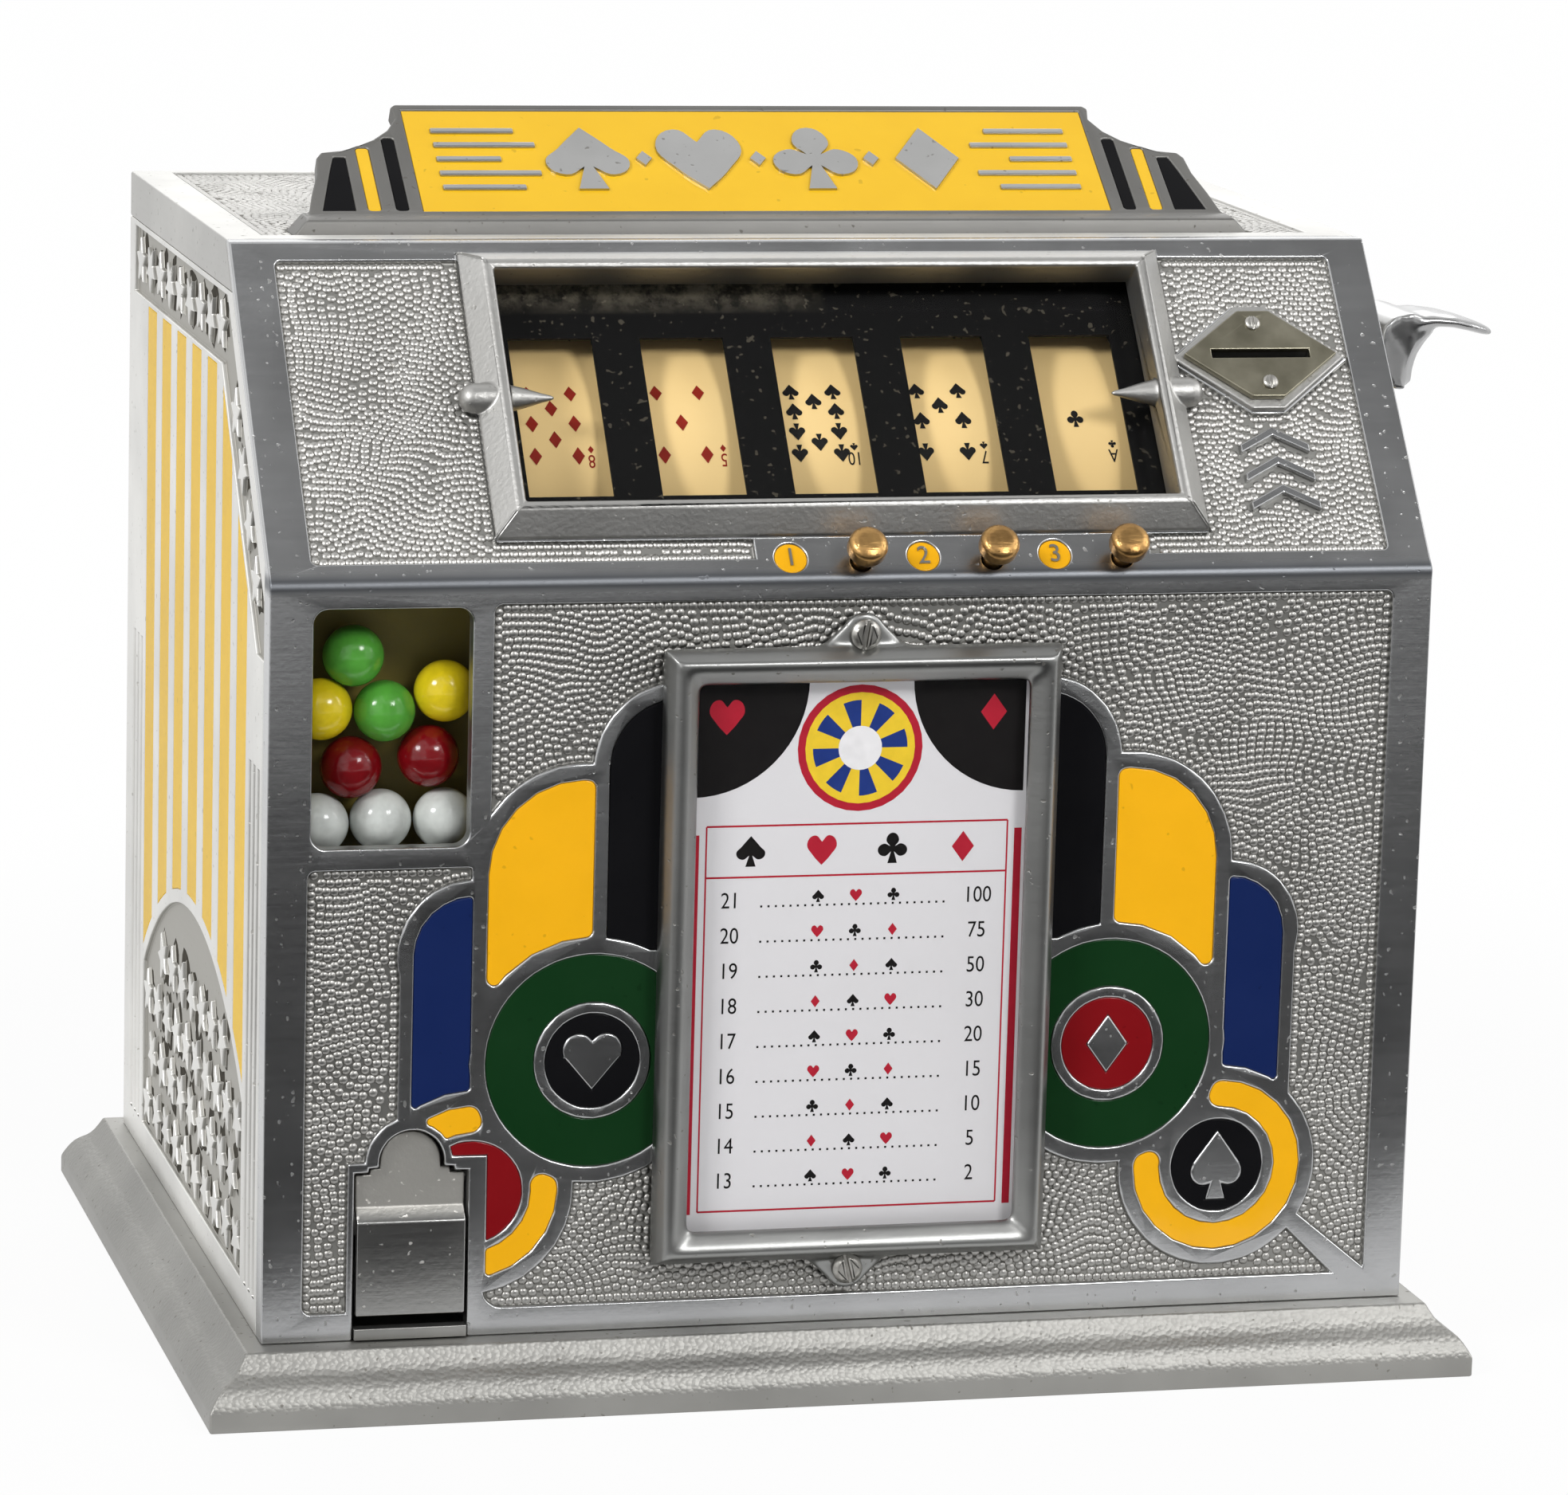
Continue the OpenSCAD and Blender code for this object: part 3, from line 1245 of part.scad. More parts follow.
// Side view of the chute: a duct down to a cup behind the vend door
function chute_outline(d) = [[pane_y - (d > 0 ? 2 : 0), cup_lo + d],
    [duct_y0 + 4, cup_lo + d], [duct_y1 - d, cup_lo + 10 + d*0.6],
    [duct_y1 - d, chute_hi + (d > 0 ? 1 : 0)], [duct_y0 + d, chute_hi + (d > 0 ? 1 : 0)],
    [duct_y0 + d, cup_hi - d], [pane_y - (d > 0 ? 2 : 0), cup_hi - d]];
module gum_chute() color("silver") difference() {
    union() {
        along_x(chute_x0, chute_x1) polygon(chute_outline(0));
        box(outlet_x - 9, outlet_x + 9, pane_y + 2, duct_y0 + 1, chute_hi - sheet, chute_hi);
        // Sill below the vend door
        box(vend_x - 0.4, vend_x1 + 0.4, front_y - 1, pane_y + 0.5, cup_lo, cup_lo + 2.4);
    }
    along_x(chute_x0 + sheet, chute_x1 - sheet) polygon(chute_outline(sheet));
    rod(chute_x0 - 1, chute_x1 + 1, pin_y, pin_z, pin_r);
    box(vend_x, vend_x1, pane_y - 2, pane_y + 2, cup_lo + sheet, cup_hi - sheet);
}

flap_t = 1.6;
flap_lo = 19.8;
flap_bend = 39.5;
flap_set = 2.2;
barrel_r = 2.2;
flap_y = front_y - 0.5;
module vend_door() color("silver") difference() {
    union() {
        along_x(vend_x, vend_x1) polygon([[flap_y, flap_lo], [flap_y, flap_bend],
            [flap_y + flap_set + 0.2, flap_bend + 2.8], [flap_y + flap_set + 0.2, vend_top - 2.4],
            [flap_y + flap_set + 0.2 + flap_t, vend_top - 2.4],
            [flap_y + flap_set + 0.2 + flap_t, flap_bend + 2.2],
            [flap_y + flap_t, flap_bend - 0.6], [flap_y + flap_t, flap_lo]]);
        intersection() {
            translate([0, flap_y + flap_set + 0.2 + flap_t, 0]) rotate([90, 0, 0])
                linear_extrude(flap_t) {
                    rect(vend_x + 3, vend_x1 - 3, vend_top - 4, vend_top - 1.2);
                    rect(vend_mid - tab_r, vend_mid + tab_r, vend_top - 4, tab_z);
                    disc(vend_mid, tab_z, tab_r);
                }
            box(-far, 0, -far, 0, 0, far);
        }
        difference() {
            rod(vend_x, vend_x1, pin_y, pin_z, barrel_r);
            box(vend_x + 5, vend_x1 - 5, pin_y - 9, pin_y + 9, pin_z - 9, pin_z + 9);
        }
        for (x = [vend_x, vend_x1 - 5])
            box(x, x + 5, flap_y + flap_set + 1, pin_y, pin_z - 1, pin_z + 1);
    }
    rod(vend_x - 1, vend_x1 + 1, pin_y, pin_z, pin_r + run_fit);
}
module vend_door_pin() color("gray") rod(chute_x0 - 0.5, chute_x1 + 0.5, pin_y, pin_z, pin_r);

// Coin chute and cash box

chute_w = 25.6;
coin_in = on_slope(coin_t, -wall - seat);
chute_back = -42.5;
chute_front = -50.5;
chute_low = 66;
slit = 3.6;
// Side view of the coin chute, its walls moved in by d
function coin_outline(d) =
    let (u = [cos(slope_a), sin(slope_a)], v = [sin(slope_a), -cos(slope_a)],
        e = d > 0 ? 1 : 0,
        hi = coin_in + u*(slit - d) - v*e, lo = coin_in - u*(slit - d) - v*e,
        b = hi + v*((chute_back - d - hi[0])/v[0]),
        f = lo + v*((chute_front + d - lo[0])/v[0]))
    [hi, b, [chute_back - d, chute_low - e], [chute_front + d, chute_low - e], f, lo];
module coin_chute() color("silver") difference() {
    along_x(coin_x - chute_w/2, coin_x + chute_w/2) polygon(coin_outline(0));
    along_x(coin_x - chute_w/2 + sheet, coin_x + chute_w/2 - sheet) polygon(coin_outline(sheet));
}
cash_x0 = frame_x + frame_t + 1;
cash_x1 = inner_x - boss - 1;
cash_y0 = -72;
cash_y1 = 72;
cash_h = 45;
module cash_box() color("dimgray") {
    difference() {
        box(cash_x0, cash_x1, cash_y0, cash_y1, floor_z, floor_z + cash_h);
        box(cash_x0 + sheet, cash_x1 - sheet, cash_y0 + sheet, cash_y1 - sheet,
            floor_z + sheet, floor_z + cash_h + 1);
    }
    box(cash_x0 + 6, cash_x1 - 6, cash_y1, cash_y1 + 6, floor_z + 22, floor_z + 24);
}

// Rear door and lock

lock_x = 95;
lock_z = 120;
lock_r = 9;
strike_y = back_y - 6.4;
cam_t = 1.7;
cam_l = 21;
module rear_door() color("gray") {
    difference() {
        box(-inner_x + seat, inner_x - seat, back_y - door_t, back_y, floor_z + 0.5, lid_z - 0.4);
        translate([lock_x, back_y + 1, lock_z]) rotate([90, 0, 0])
            cylinder(h = door_t + 2, r = lock_r + run_fit);
    }
    for (z = hinge_zs)
        hinge_knuckle(z - knuckle/2 + 0.2, knuckle - 0.4, -inner_x + 14);
}
module rear_hinge_pin() color("gray") for (z = hinge_zs)
    translate([hinge_x, hinge_y, z - 1.5*knuckle - 1]) cylinder(h = 3*knuckle + 2, r = hinge_pin_r);
module door_lock() color("goldenrod") {
    translate([lock_x, back_y + 1.6, lock_z]) rotate([90, 0, 0]) difference() {
        union() {
            cylinder(h = 1.6, r = lock_r + 2);
            cylinder(h = back_y + 1.6 - strike_y + seat + 0.5, r = lock_r);
        }
        translate([-0.6, -4, -1]) cube([1.2, 8, 4]);
    }
    box(lock_x - 4, lock_x + 4, strike_y - seat - cam_t, strike_y - seat,
        lock_z - 4, lock_z + cam_l);
}

// Screws that hold the cabinet together

csk_r = 3;
module case_screws() color("gray") {
    for (x = [-boss_x, boss_x], y = boss_ys)
        translate([x, y, base_h - floor_t]) rotate([180, 0, 0])
            slotted_screw(screw_r, 3.8, 2.4, floor_t + 10, 0.9);
    for (x = [-foot_x, foot_x], y = foot_ys)
        translate([x, y, floor_z + 1.5]) slotted_screw(foot_screw_r, 3, 1.8, 4, 0.8);
    for (x = gusset_xs)
        translate([marquee_x + x, gusset_screw_y, top_z - wall]) rotate([180, 0, 0])
            slotted_screw(screw_r, 3.6, 2.2, wall + 5, 0.9);
    for (x = [-post_x, post_x], y = [-post_y, post_y])
        translate([x, y, 0.2]) {
            cylinder(h = plate_t - 0.2, r1 = csk_r, r2 = foot_screw_r + 0.4);
            cylinder(h = plate_t + 6, r = foot_screw_r);
        }
}

base_plinth();
bottom_plate();
front_casting();
side_panel_left();
side_panel_right();
top_lid();
marquee();
marquee_yellow();
marquee_black();
enamel_yellow();
enamel_black();
enamel_blue();
enamel_green();
enamel_red();
stripes_left();
stripes_right();
award_frame();
award_glass();
award_card();
award_screws();
coin_plate();
coin_plate_screws();
reel_glass();
reel_mask();
gum_glass();
gum_hopper();
gumballs_green();
gumballs_yellow();
gumballs_red();
gumballs_white();
gum_slide();
gum_chute();
vend_door();
vend_door_pin();
reel_1();
reel_2();
reel_3();
reel_4();
reel_5();
reel_shaft();
index_springs();
mech_frame_left();
mech_frame_right();
shutter_1();
shutter_2();
shutter_3();
button_1();
button_2();
button_3();
button_springs();
lever();
lever_shaft();
kick_fingers();
lever_spring();
coin_chute();
cash_box();
rear_door();
rear_hinge_pin();
door_lock();
case_screws();
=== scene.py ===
import bpy, bmesh, json, math, random
from mathutils import Matrix, Vector, noise
from mathutils.bvhtree import BVHTree
from mathutils.kdtree import KDTree


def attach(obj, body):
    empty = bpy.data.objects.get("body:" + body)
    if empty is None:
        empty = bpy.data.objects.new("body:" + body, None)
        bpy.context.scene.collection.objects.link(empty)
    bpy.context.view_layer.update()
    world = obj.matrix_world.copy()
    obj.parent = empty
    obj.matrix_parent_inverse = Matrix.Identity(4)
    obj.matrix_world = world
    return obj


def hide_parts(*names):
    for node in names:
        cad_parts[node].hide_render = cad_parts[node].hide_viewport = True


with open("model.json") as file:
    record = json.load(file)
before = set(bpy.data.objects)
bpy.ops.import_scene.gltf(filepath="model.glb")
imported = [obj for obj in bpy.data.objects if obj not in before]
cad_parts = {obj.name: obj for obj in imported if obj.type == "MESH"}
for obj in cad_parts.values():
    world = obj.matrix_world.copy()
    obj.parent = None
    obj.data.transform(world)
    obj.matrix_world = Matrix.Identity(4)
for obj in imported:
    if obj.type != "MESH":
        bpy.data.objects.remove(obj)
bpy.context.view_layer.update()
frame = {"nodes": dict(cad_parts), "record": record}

nodes = frame["nodes"]
scene = bpy.context.scene
scene.view_settings.view_transform = "Standard"


# The photograph's view: from the left and a little above, with a long lens.
# The picture was cropped off centre, which is what the shift stands for.
def rotated(degrees, axis):
    """A turn about an axis through the origin."""
    return Matrix.Rotation(math.radians(degrees), 4, axis)


lens = bpy.data.cameras.new("camera")
lens.sensor_width = 36
lens.lens = 154.12
lens.shift_x, lens.shift_y = 0.0239, 0.0237
lens.clip_end = 20
camera = bpy.data.objects.new("camera", lens)
turn = rotated(-14.17, "Z") @ rotated(90 - 11.36, "X") @ rotated(1.525, "Z")
camera.matrix_world = Matrix.Translation((-0.35226, -1.39451, 0.39874)) @ turn
scene.collection.objects.link(camera)
scene.camera = camera


# The studio: a pale floor, a pale surround, and soft boxes above the front,
# at the sides and behind. Every finish below is mixed with this small kit:
# a Finish is one material, and a Value is a socket that takes part in sums.
class Value:
    def __init__(self, finish, socket):
        self.finish, self.socket = finish, socket

    def math(self, operation, *values):
        return self.finish.node("ShaderNodeMath", {"operation": operation}, *values)

    def __add__(self, other):
        return self.math("ADD", self, other)

    __radd__ = __add__

    def __sub__(self, other):
        return self.math("SUBTRACT", self, other)

    def __rsub__(self, other):
        return self.math("SUBTRACT", other, self)

    def __mul__(self, other):
        return self.math("MULTIPLY", self, other)

    __rmul__ = __mul__

    def __abs__(self):
        return self.math("ABSOLUTE", self)

    def above(self, limit):
        return self.math("GREATER_THAN", self, limit)

    def most(self, other):
        return self.math("MAXIMUM", self, other)

    def least(self, other):
        return self.math("MINIMUM", self, other)


class Finish:
    def __init__(self, name, tree=None, **settings):
        if tree is None:
            self.material = bpy.data.materials.new(name)
            self.material.use_nodes = True
            tree = self.material.node_tree
            self.shader = tree.nodes["Principled BSDF"]
            self.set(**settings)
        self.tree = tree

    def set(self, **settings):
        for name, value in settings.items():
            self.join(self.shader.inputs[name.replace("_", " ")], value)

    def join(self, socket, value):
        if isinstance(value, Value):
            socket.node.id_data.links.new(value.socket, socket)
        elif isinstance(value, tuple) and len(value) == 3 and socket.type == "RGBA":
            socket.default_value = (*value, 1)
        else:
            socket.default_value = value

    def node(self, kind, settings=None, *values, out=0, **named):
        made = self.tree.nodes.new(kind)
        for key, value in (settings or {}).items():
            if key == "stops":
                for stop, (place, level) in zip(made.color_ramp.elements, value):
                    stop.position, stop.color = place, (level, level, level, 1)
            else:
                setattr(made, key, value)
        for i, value in enumerate(values):
            self.join(made.inputs[i], value)
        for name, value in named.items():
            self.join(made.inputs[name.replace("_", " ")], value)
        return Value(self, made.outputs[out])

    def place(self, scale=(1, 1, 1)):
        at = self.node("ShaderNodeTexCoord", out="Object")
        return self.node("ShaderNodeMapping", None, at, Scale=scale)

    def noise(self, scale, detail=2.0, rough=0.5, at=None):
        return self.node("ShaderNodeTexNoise", None, Vector=at or self.place(),
                         Scale=scale, Detail=detail, Roughness=rough)

    def ramp(self, value, *stops):
        return self.node("ShaderNodeValToRGB", {"stops": stops}, value)

    def mix(self, share, a, b):
        made = self.tree.nodes.new("ShaderNodeMix")
        made.data_type = "RGBA"
        for socket, value in zip((made.inputs[0], made.inputs[6], made.inputs[7]), (share, a, b)):
            self.join(socket, value)
        return Value(self, made.outputs[2])

    def bump(self, height, distance):
        return self.node("ShaderNodeBump", None, Height=height, Distance=distance)

    def on_rays(self, *kinds):
        """1 on rays of three kinds, and 0 on all others."""
        rays = [self.node("ShaderNodeLightPath", out=f"Is {kind} Ray") for kind in kinds]
        return rays[0].most(rays[1]).most(rays[2])

    def give_way(self, share, other):
        """Shows another shader in place of this finish's own, by a share."""
        own = Value(self, self.shader.outputs[0])
        both = self.node("ShaderNodeMixShader", None, share, own, other)
        self.join(self.tree.nodes["Material Output"].inputs[0], both)


def mesh_of(name, bm):
    """Turns a bmesh that is done into a mesh."""
    mesh = bpy.data.meshes.new(name)
    bm.to_mesh(mesh)
    bm.free()
    return mesh


# Rays on which the pale surround shows as white: to the eye, and on the way
# that metal and glass send them
to_eye = ("Camera", "Glossy", "Transmission")
floor_finish = Finish("floor", Base_Color=(0.86, 0.86, 0.87), Roughness=0.6)
glow = floor_finish.node("ShaderNodeEmission", None, (1.0, 1.0, 1.0, 1), 1.0)
away = floor_finish.node("ShaderNodeVectorMath", {"operation": "LENGTH"}, floor_finish.place(), out=1)
share = 0.935 + ((away - 0.3) * 0.3).most(0.0).least(0.06)
floor_finish.give_way(floor_finish.on_rays(*to_eye) * share, glow)
bm = bmesh.new()
bmesh.ops.create_grid(bm, x_segments=1, y_segments=1, size=4)
floor = bpy.data.objects.new("floor", mesh_of("floor", bm))
floor.data.materials.append(floor_finish.material)
scene.collection.objects.link(floor)

world = bpy.data.worlds.new("surround")
scene.world = world
world.use_nodes = True
surround = Finish("surround", tree=world.node_tree)
back = world.node_tree.nodes["Background"]
surround.join(back.inputs["Color"], (1.0, 1.0, 1.0))
surround.join(back.inputs["Strength"], 0.22 + 0.78 * surround.on_rays(*to_eye))


def soft_box(name, at, aim, width, height, watts):
    lamp = bpy.data.lights.new(name, "AREA")
    lamp.shape, lamp.size, lamp.size_y, lamp.energy = "RECTANGLE", width, height, watts
    made = bpy.data.objects.new(name, lamp)
    made.location = at
    made.rotation_euler = (Vector(aim) - Vector(at)).to_track_quat("-Z", "Y").to_euler()
    scene.collection.objects.link(made)


soft_box("high_left", (-1.45, -1.0, 1.2), (0, 0, 0.12), 0.5, 0.42, 20)
soft_box("high_right", (0.72, -1.6, 1.25), (0, 0, 0.12), 0.5, 0.42, 15)
soft_box("right_side", (1.4, -0.4, 0.9), (0, 0, 0.1), 0.6, 0.8, 6)
soft_box("behind", (0.2, 1.4, 1.0), (0, 0, 0.15), 1.4, 0.8, 6)


def flag(name, at, aim, width, height, grey, turn=0):
    """A dark card that only polished metal sees, to give it something to mirror."""
    bm = bmesh.new()
    bmesh.ops.create_grid(bm, x_segments=1, y_segments=1, size=0.5)
    bmesh.ops.scale(bm, vec=(width, height, 1), verts=bm.verts)
    turned = (Vector(aim) - Vector(at)).to_track_quat("Z", "Y").to_matrix().to_4x4()
    bmesh.ops.transform(bm, matrix=Matrix.Translation(at) @ rotated(turn, "Z") @ turned, verts=bm.verts)
    cloth = Finish(name, Base_Color=(0, 0, 0), Roughness=1.0, Specular_IOR_Level=0.0,
                   Emission_Color=(grey, grey, grey), Emission_Strength=1.0)
    card = bpy.data.objects.new(name, mesh_of(name, bm))
    card.data.materials.append(cloth.material)
    scene.collection.objects.link(card)
    card.visible_camera = card.visible_diffuse = card.visible_shadow = False


flag("floor_flag", (0.02, -0.69, 0.003), (0.02, -0.69, 1), 1.6, 1.0, 0.05, turn=-9)
flag("high_flag", (0.28, -0.52, 1.3), (0, 0, 0.2), 1.3, 0.75, 0.26)
flag("far_flag", (0.4, -2.6, 0.9), (0, 0, 0.9), 2.6, 1.7, 0.3)


# The plinth: one aluminium casting with a flared, grained rim, closed below
# by a steel plate. Its cast skin was tumbled and polished, not machined, so
# every edge is a little round, and all that lies low is darkened: dirt there,
# and painted shade.
mm = 0.001
body_of = {node: body for body, members in frame["record"]["behaviour"]["bodies"].items()
           for node in members}
doubles_gap = 0.002 * mm


def build(name, bm, finish, body="cabinet", instead_of=(), weigh=False):
    """Makes a finished bmesh a piece that rides on a body."""
    piece = bpy.data.objects.new(name, mesh_of(name, bm))
    piece.data.materials.append(finish.material)
    scene.collection.objects.link(piece)
    if weigh:
        normals = piece.modifiers.new("normals", "WEIGHTED_NORMAL")
        normals.keep_sharp = True
    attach(piece, body)
    if instead_of:
        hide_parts(*instead_of)
    return piece


def skin_of(planes, at):
    """How low a point lies inside the nearest outer plane, and whether the skin
    there is as cast: the belt reached neither what is deep nor what stands up."""
    depth = min((point - at).dot(normal) for point, normal in planes) / mm
    low = min(1.0, max(0.0, (depth - 0.25) / 0.6)) if depth < 1.6 else 0.3
    return low, float(depth < -0.3 or depth > 1.6)


def eased(bm, edges, width):
    """Rounds edges off, by a width in millimetres."""
    return bmesh.ops.bevel(bm, geom=edges, offset=width * mm, offset_type="OFFSET", segments=2,
                           profile=0.5, affect="EDGES", clamp_overlap=False, material=-1)["verts"]


def soften(node, finish, edge=0.3, sharp=28, planes=()):
    """A copy of a CAD node with its sharp edges rounded, which stands for it."""
    bm = bmesh.new()
    bm.from_mesh(nodes[node].data)
    bmesh.ops.remove_doubles(bm, verts=bm.verts, dist=doubles_gap)
    bmesh.ops.dissolve_limit(bm, angle_limit=math.radians(0.5), use_dissolve_boundaries=False,
                             verts=bm.verts, edges=bm.edges, delimit=set())
    edges = [e for e in bm.edges if e.is_manifold and e.calc_face_angle(0) > math.radians(sharp)]
    eased(bm, edges, edge)
    bmesh.ops.triangulate(bm, faces=bm.faces, ngon_method="EAR_CLIP")
    for face in bm.faces:
        face.smooth = True
    for e in bm.edges:
        e.smooth = e.calc_face_angle(0) < math.radians(50)
    # How low each point lies darkens the finish there: dirt and painted shade.
    if planes:
        low = bm.verts.layers.float.new("low")
        raw = bm.verts.layers.float.new("raw")
        for vert in bm.verts:
            vert[low], vert[raw] = skin_of(planes, vert.co)
    return build(node + "_finished", bm, finish, body_of[node], [node], weigh=True)


def toned(colour, by):
    """A colour made darker or lighter."""
    return tuple(by * c for c in colour)


def cast_metal(name, tone, rough=0.44, low_and_pit_colour=(0.15, 0.14, 0.12), grain_cell=0):
    """Cast aluminium: cloudy, finely scratched and pitted, with a second colour where it
    lies low and in its pits (mostly dark: dirt and painted shade), and grained like
    leather where it leans back, if a grain is asked for."""
    finish = Finish(name, Metallic=1.0)
    low = finish.node("ShaderNodeAttribute", {"attribute_name": "low"}, out="Fac")
    raw = finish.node("ShaderNodeAttribute", {"attribute_name": "raw"}, out="Fac")
    cloud = finish.noise(22, detail=4, rough=0.6)
    grain = finish.noise(900, detail=3)
    scratch = finish.noise(70, detail=3, at=finish.place((1, 1, 14)))
    pits = finish.ramp(finish.noise(700, detail=1), (0.71, 0.0), (0.77, 1.0))
    metal = finish.mix(finish.ramp(cloud, (0.35, 0.0), (0.65, 1.0)), toned(tone, 0.9), toned(tone, 1.1))
    metal = finish.mix(raw * 0.5, metal, tuple(c * s for c, s in zip(tone, (0.9, 0.86, 0.78))))
    metal = finish.mix(pits * 0.55, metal, low_and_pit_colour)
    dull = rough + cloud * 0.1 + scratch * 0.06 + low * 0.2 + pits * 0.2 + raw * 0.2 - 0.08
    # What lies low takes the low colour: dirt, and painted shade in the recesses.
    finish.set(Base_Color=finish.mix(low * 0.9, metal, low_and_pit_colour), Roughness=dull,
               Normal=finish.bump(grain * (0.4 + raw * 2) + scratch * 0.3 - pits, 0.04 * mm))
    if grain_cell:
        facing = finish.node("ShaderNodeNewGeometry", out="True Normal")
        up = finish.node("ShaderNodeSeparateXYZ", None, facing, out=2)
        leaning = up.above(0.4) * (1.0 - up.above(0.97))
        cell = finish.node("ShaderNodeTexVoronoi", {"feature": "F1"}, Vector=finish.place((1, 1, 1.2)),
                           Scale=1000 / grain_cell, out="Distance")
        finish.set(Normal=finish.bump((0.7 - cell) * leaning, 0.12 * mm))
    return finish


polished = cast_metal("polished aluminium", (0.46, 0.465, 0.47), rough=0.25, low_and_pit_colour=(0.3, 0.295, 0.275))
pebble_metal = cast_metal("pebbled aluminium", (0.5, 0.492, 0.472), rough=0.36, low_and_pit_colour=(0.22, 0.21, 0.19))
flat_half_w, flat_front, flat_back = 122.5 * mm, -92.6 * mm, 92.6 * mm
plinth_metal = cast_metal("plinth aluminium", (0.31, 0.306, 0.29), rough=0.5, grain_cell=1.1)
soften("base_plinth", plinth_metal, 0.5)


def pebble_shape():
    """A low dome of unit size, open below."""
    bm = bmesh.new()
    bmesh.ops.create_uvsphere(bm, u_segments=7, v_segments=4, radius=1)
    bmesh.ops.delete(bm, geom=[v for v in bm.verts if v.co.z < -0.1], context="VERTS")
    shoulder = [v for v in bm.verts if 0.5 < v.co.z < 0.9]
    bmesh.ops.scale(bm, vec=(1.16, 1.16, 1.12), verts=shoulder)
    for face in bm.faces:
        face.smooth = True
    return mesh_of("pebble", bm)


def floor_of(node, plane, is_floor):
    """The part of a node that carries pebbles, laid into the plane's own axes."""
    bm = bmesh.new()
    bm.from_mesh(nodes[node].data)
    bmesh.ops.remove_doubles(bm, verts=bm.verts, dist=doubles_gap)
    bmesh.ops.transform(bm, matrix=plane.inverted(), verts=bm.verts)
    bm.normal_update()
    others = [f for f in bm.faces if not is_floor(f)]
    bmesh.ops.delete(bm, geom=others, context="FACES")
    return bm


def rim_rows(bm, inset, pitch):
    """Points in a row along the rim, and samples of the rim itself."""
    left = dict.fromkeys(e for e in bm.edges if e.is_boundary)
    rows, rim = [], []
    while left:
        start = left.popitem()[0]
        vert, edge, passed = start.verts[0], start, 0.0
        while edge:
            other = edge.other_vert(vert)
            along = other.co - vert.co
            length = along.length
            inward = Vector((-along.y, along.x, 0)).normalized()
            if inward.dot(edge.link_faces[0].calc_center_median() - vert.co) < 0:
                inward = -inward
            for k in range(int(length / (0.4 * mm)) + 1):
                rim.append(vert.co + along * min(1, k * 0.4 * mm / max(length, 1e-9)))
            while passed < length:
                rows.append(vert.co + along * (passed / length) + inward * inset)
                passed += pitch
            passed -= length
            vert = other
            edge = next((e for e in vert.link_edges if e in left), None)
            left.pop(edge, None)
    return rows, rim


def swirled(at, reach, size, seed):
    """Moves a point of the pebble rows so that the rows run in eddies."""
    step = 0.5 * mm

    def height(x, y):
        return noise.noise(Vector((x / size, y / size, seed)))

    slope_x = (height(at.x + step, at.y) - height(at.x - step, at.y)) / (2 * step)
    slope_y = (height(at.x, at.y + step) - height(at.x, at.y - step)) / (2 * step)
    return Vector((at.x + reach * size * slope_y, at.y - reach * size * slope_x, 0))


def tree_of(points):
    """A search tree of points."""
    tree = KDTree(len(points))
    for i, at in enumerate(points):
        tree.insert(at, i)
    tree.balance()
    return tree


def spread(points, fixed, pitch, edge_of):
    """Lets crowded points push each other apart, as the pebbles do when they are cut."""
    for _ in range(8):
        tree = tree_of(points)
        for i, at in enumerate(points):
            if i < fixed:
                continue
            push = Vector()
            for other, k, gap in tree.find_range(at, 1.15 * pitch):
                if k != i and gap > 0:
                    push += (at - other) * (1.15 * pitch / gap - 1)
            moved = at + push * 0.22
            if edge_of.find(moved)[2] > 0.95 * pitch:
                points[i] = moved
    return points


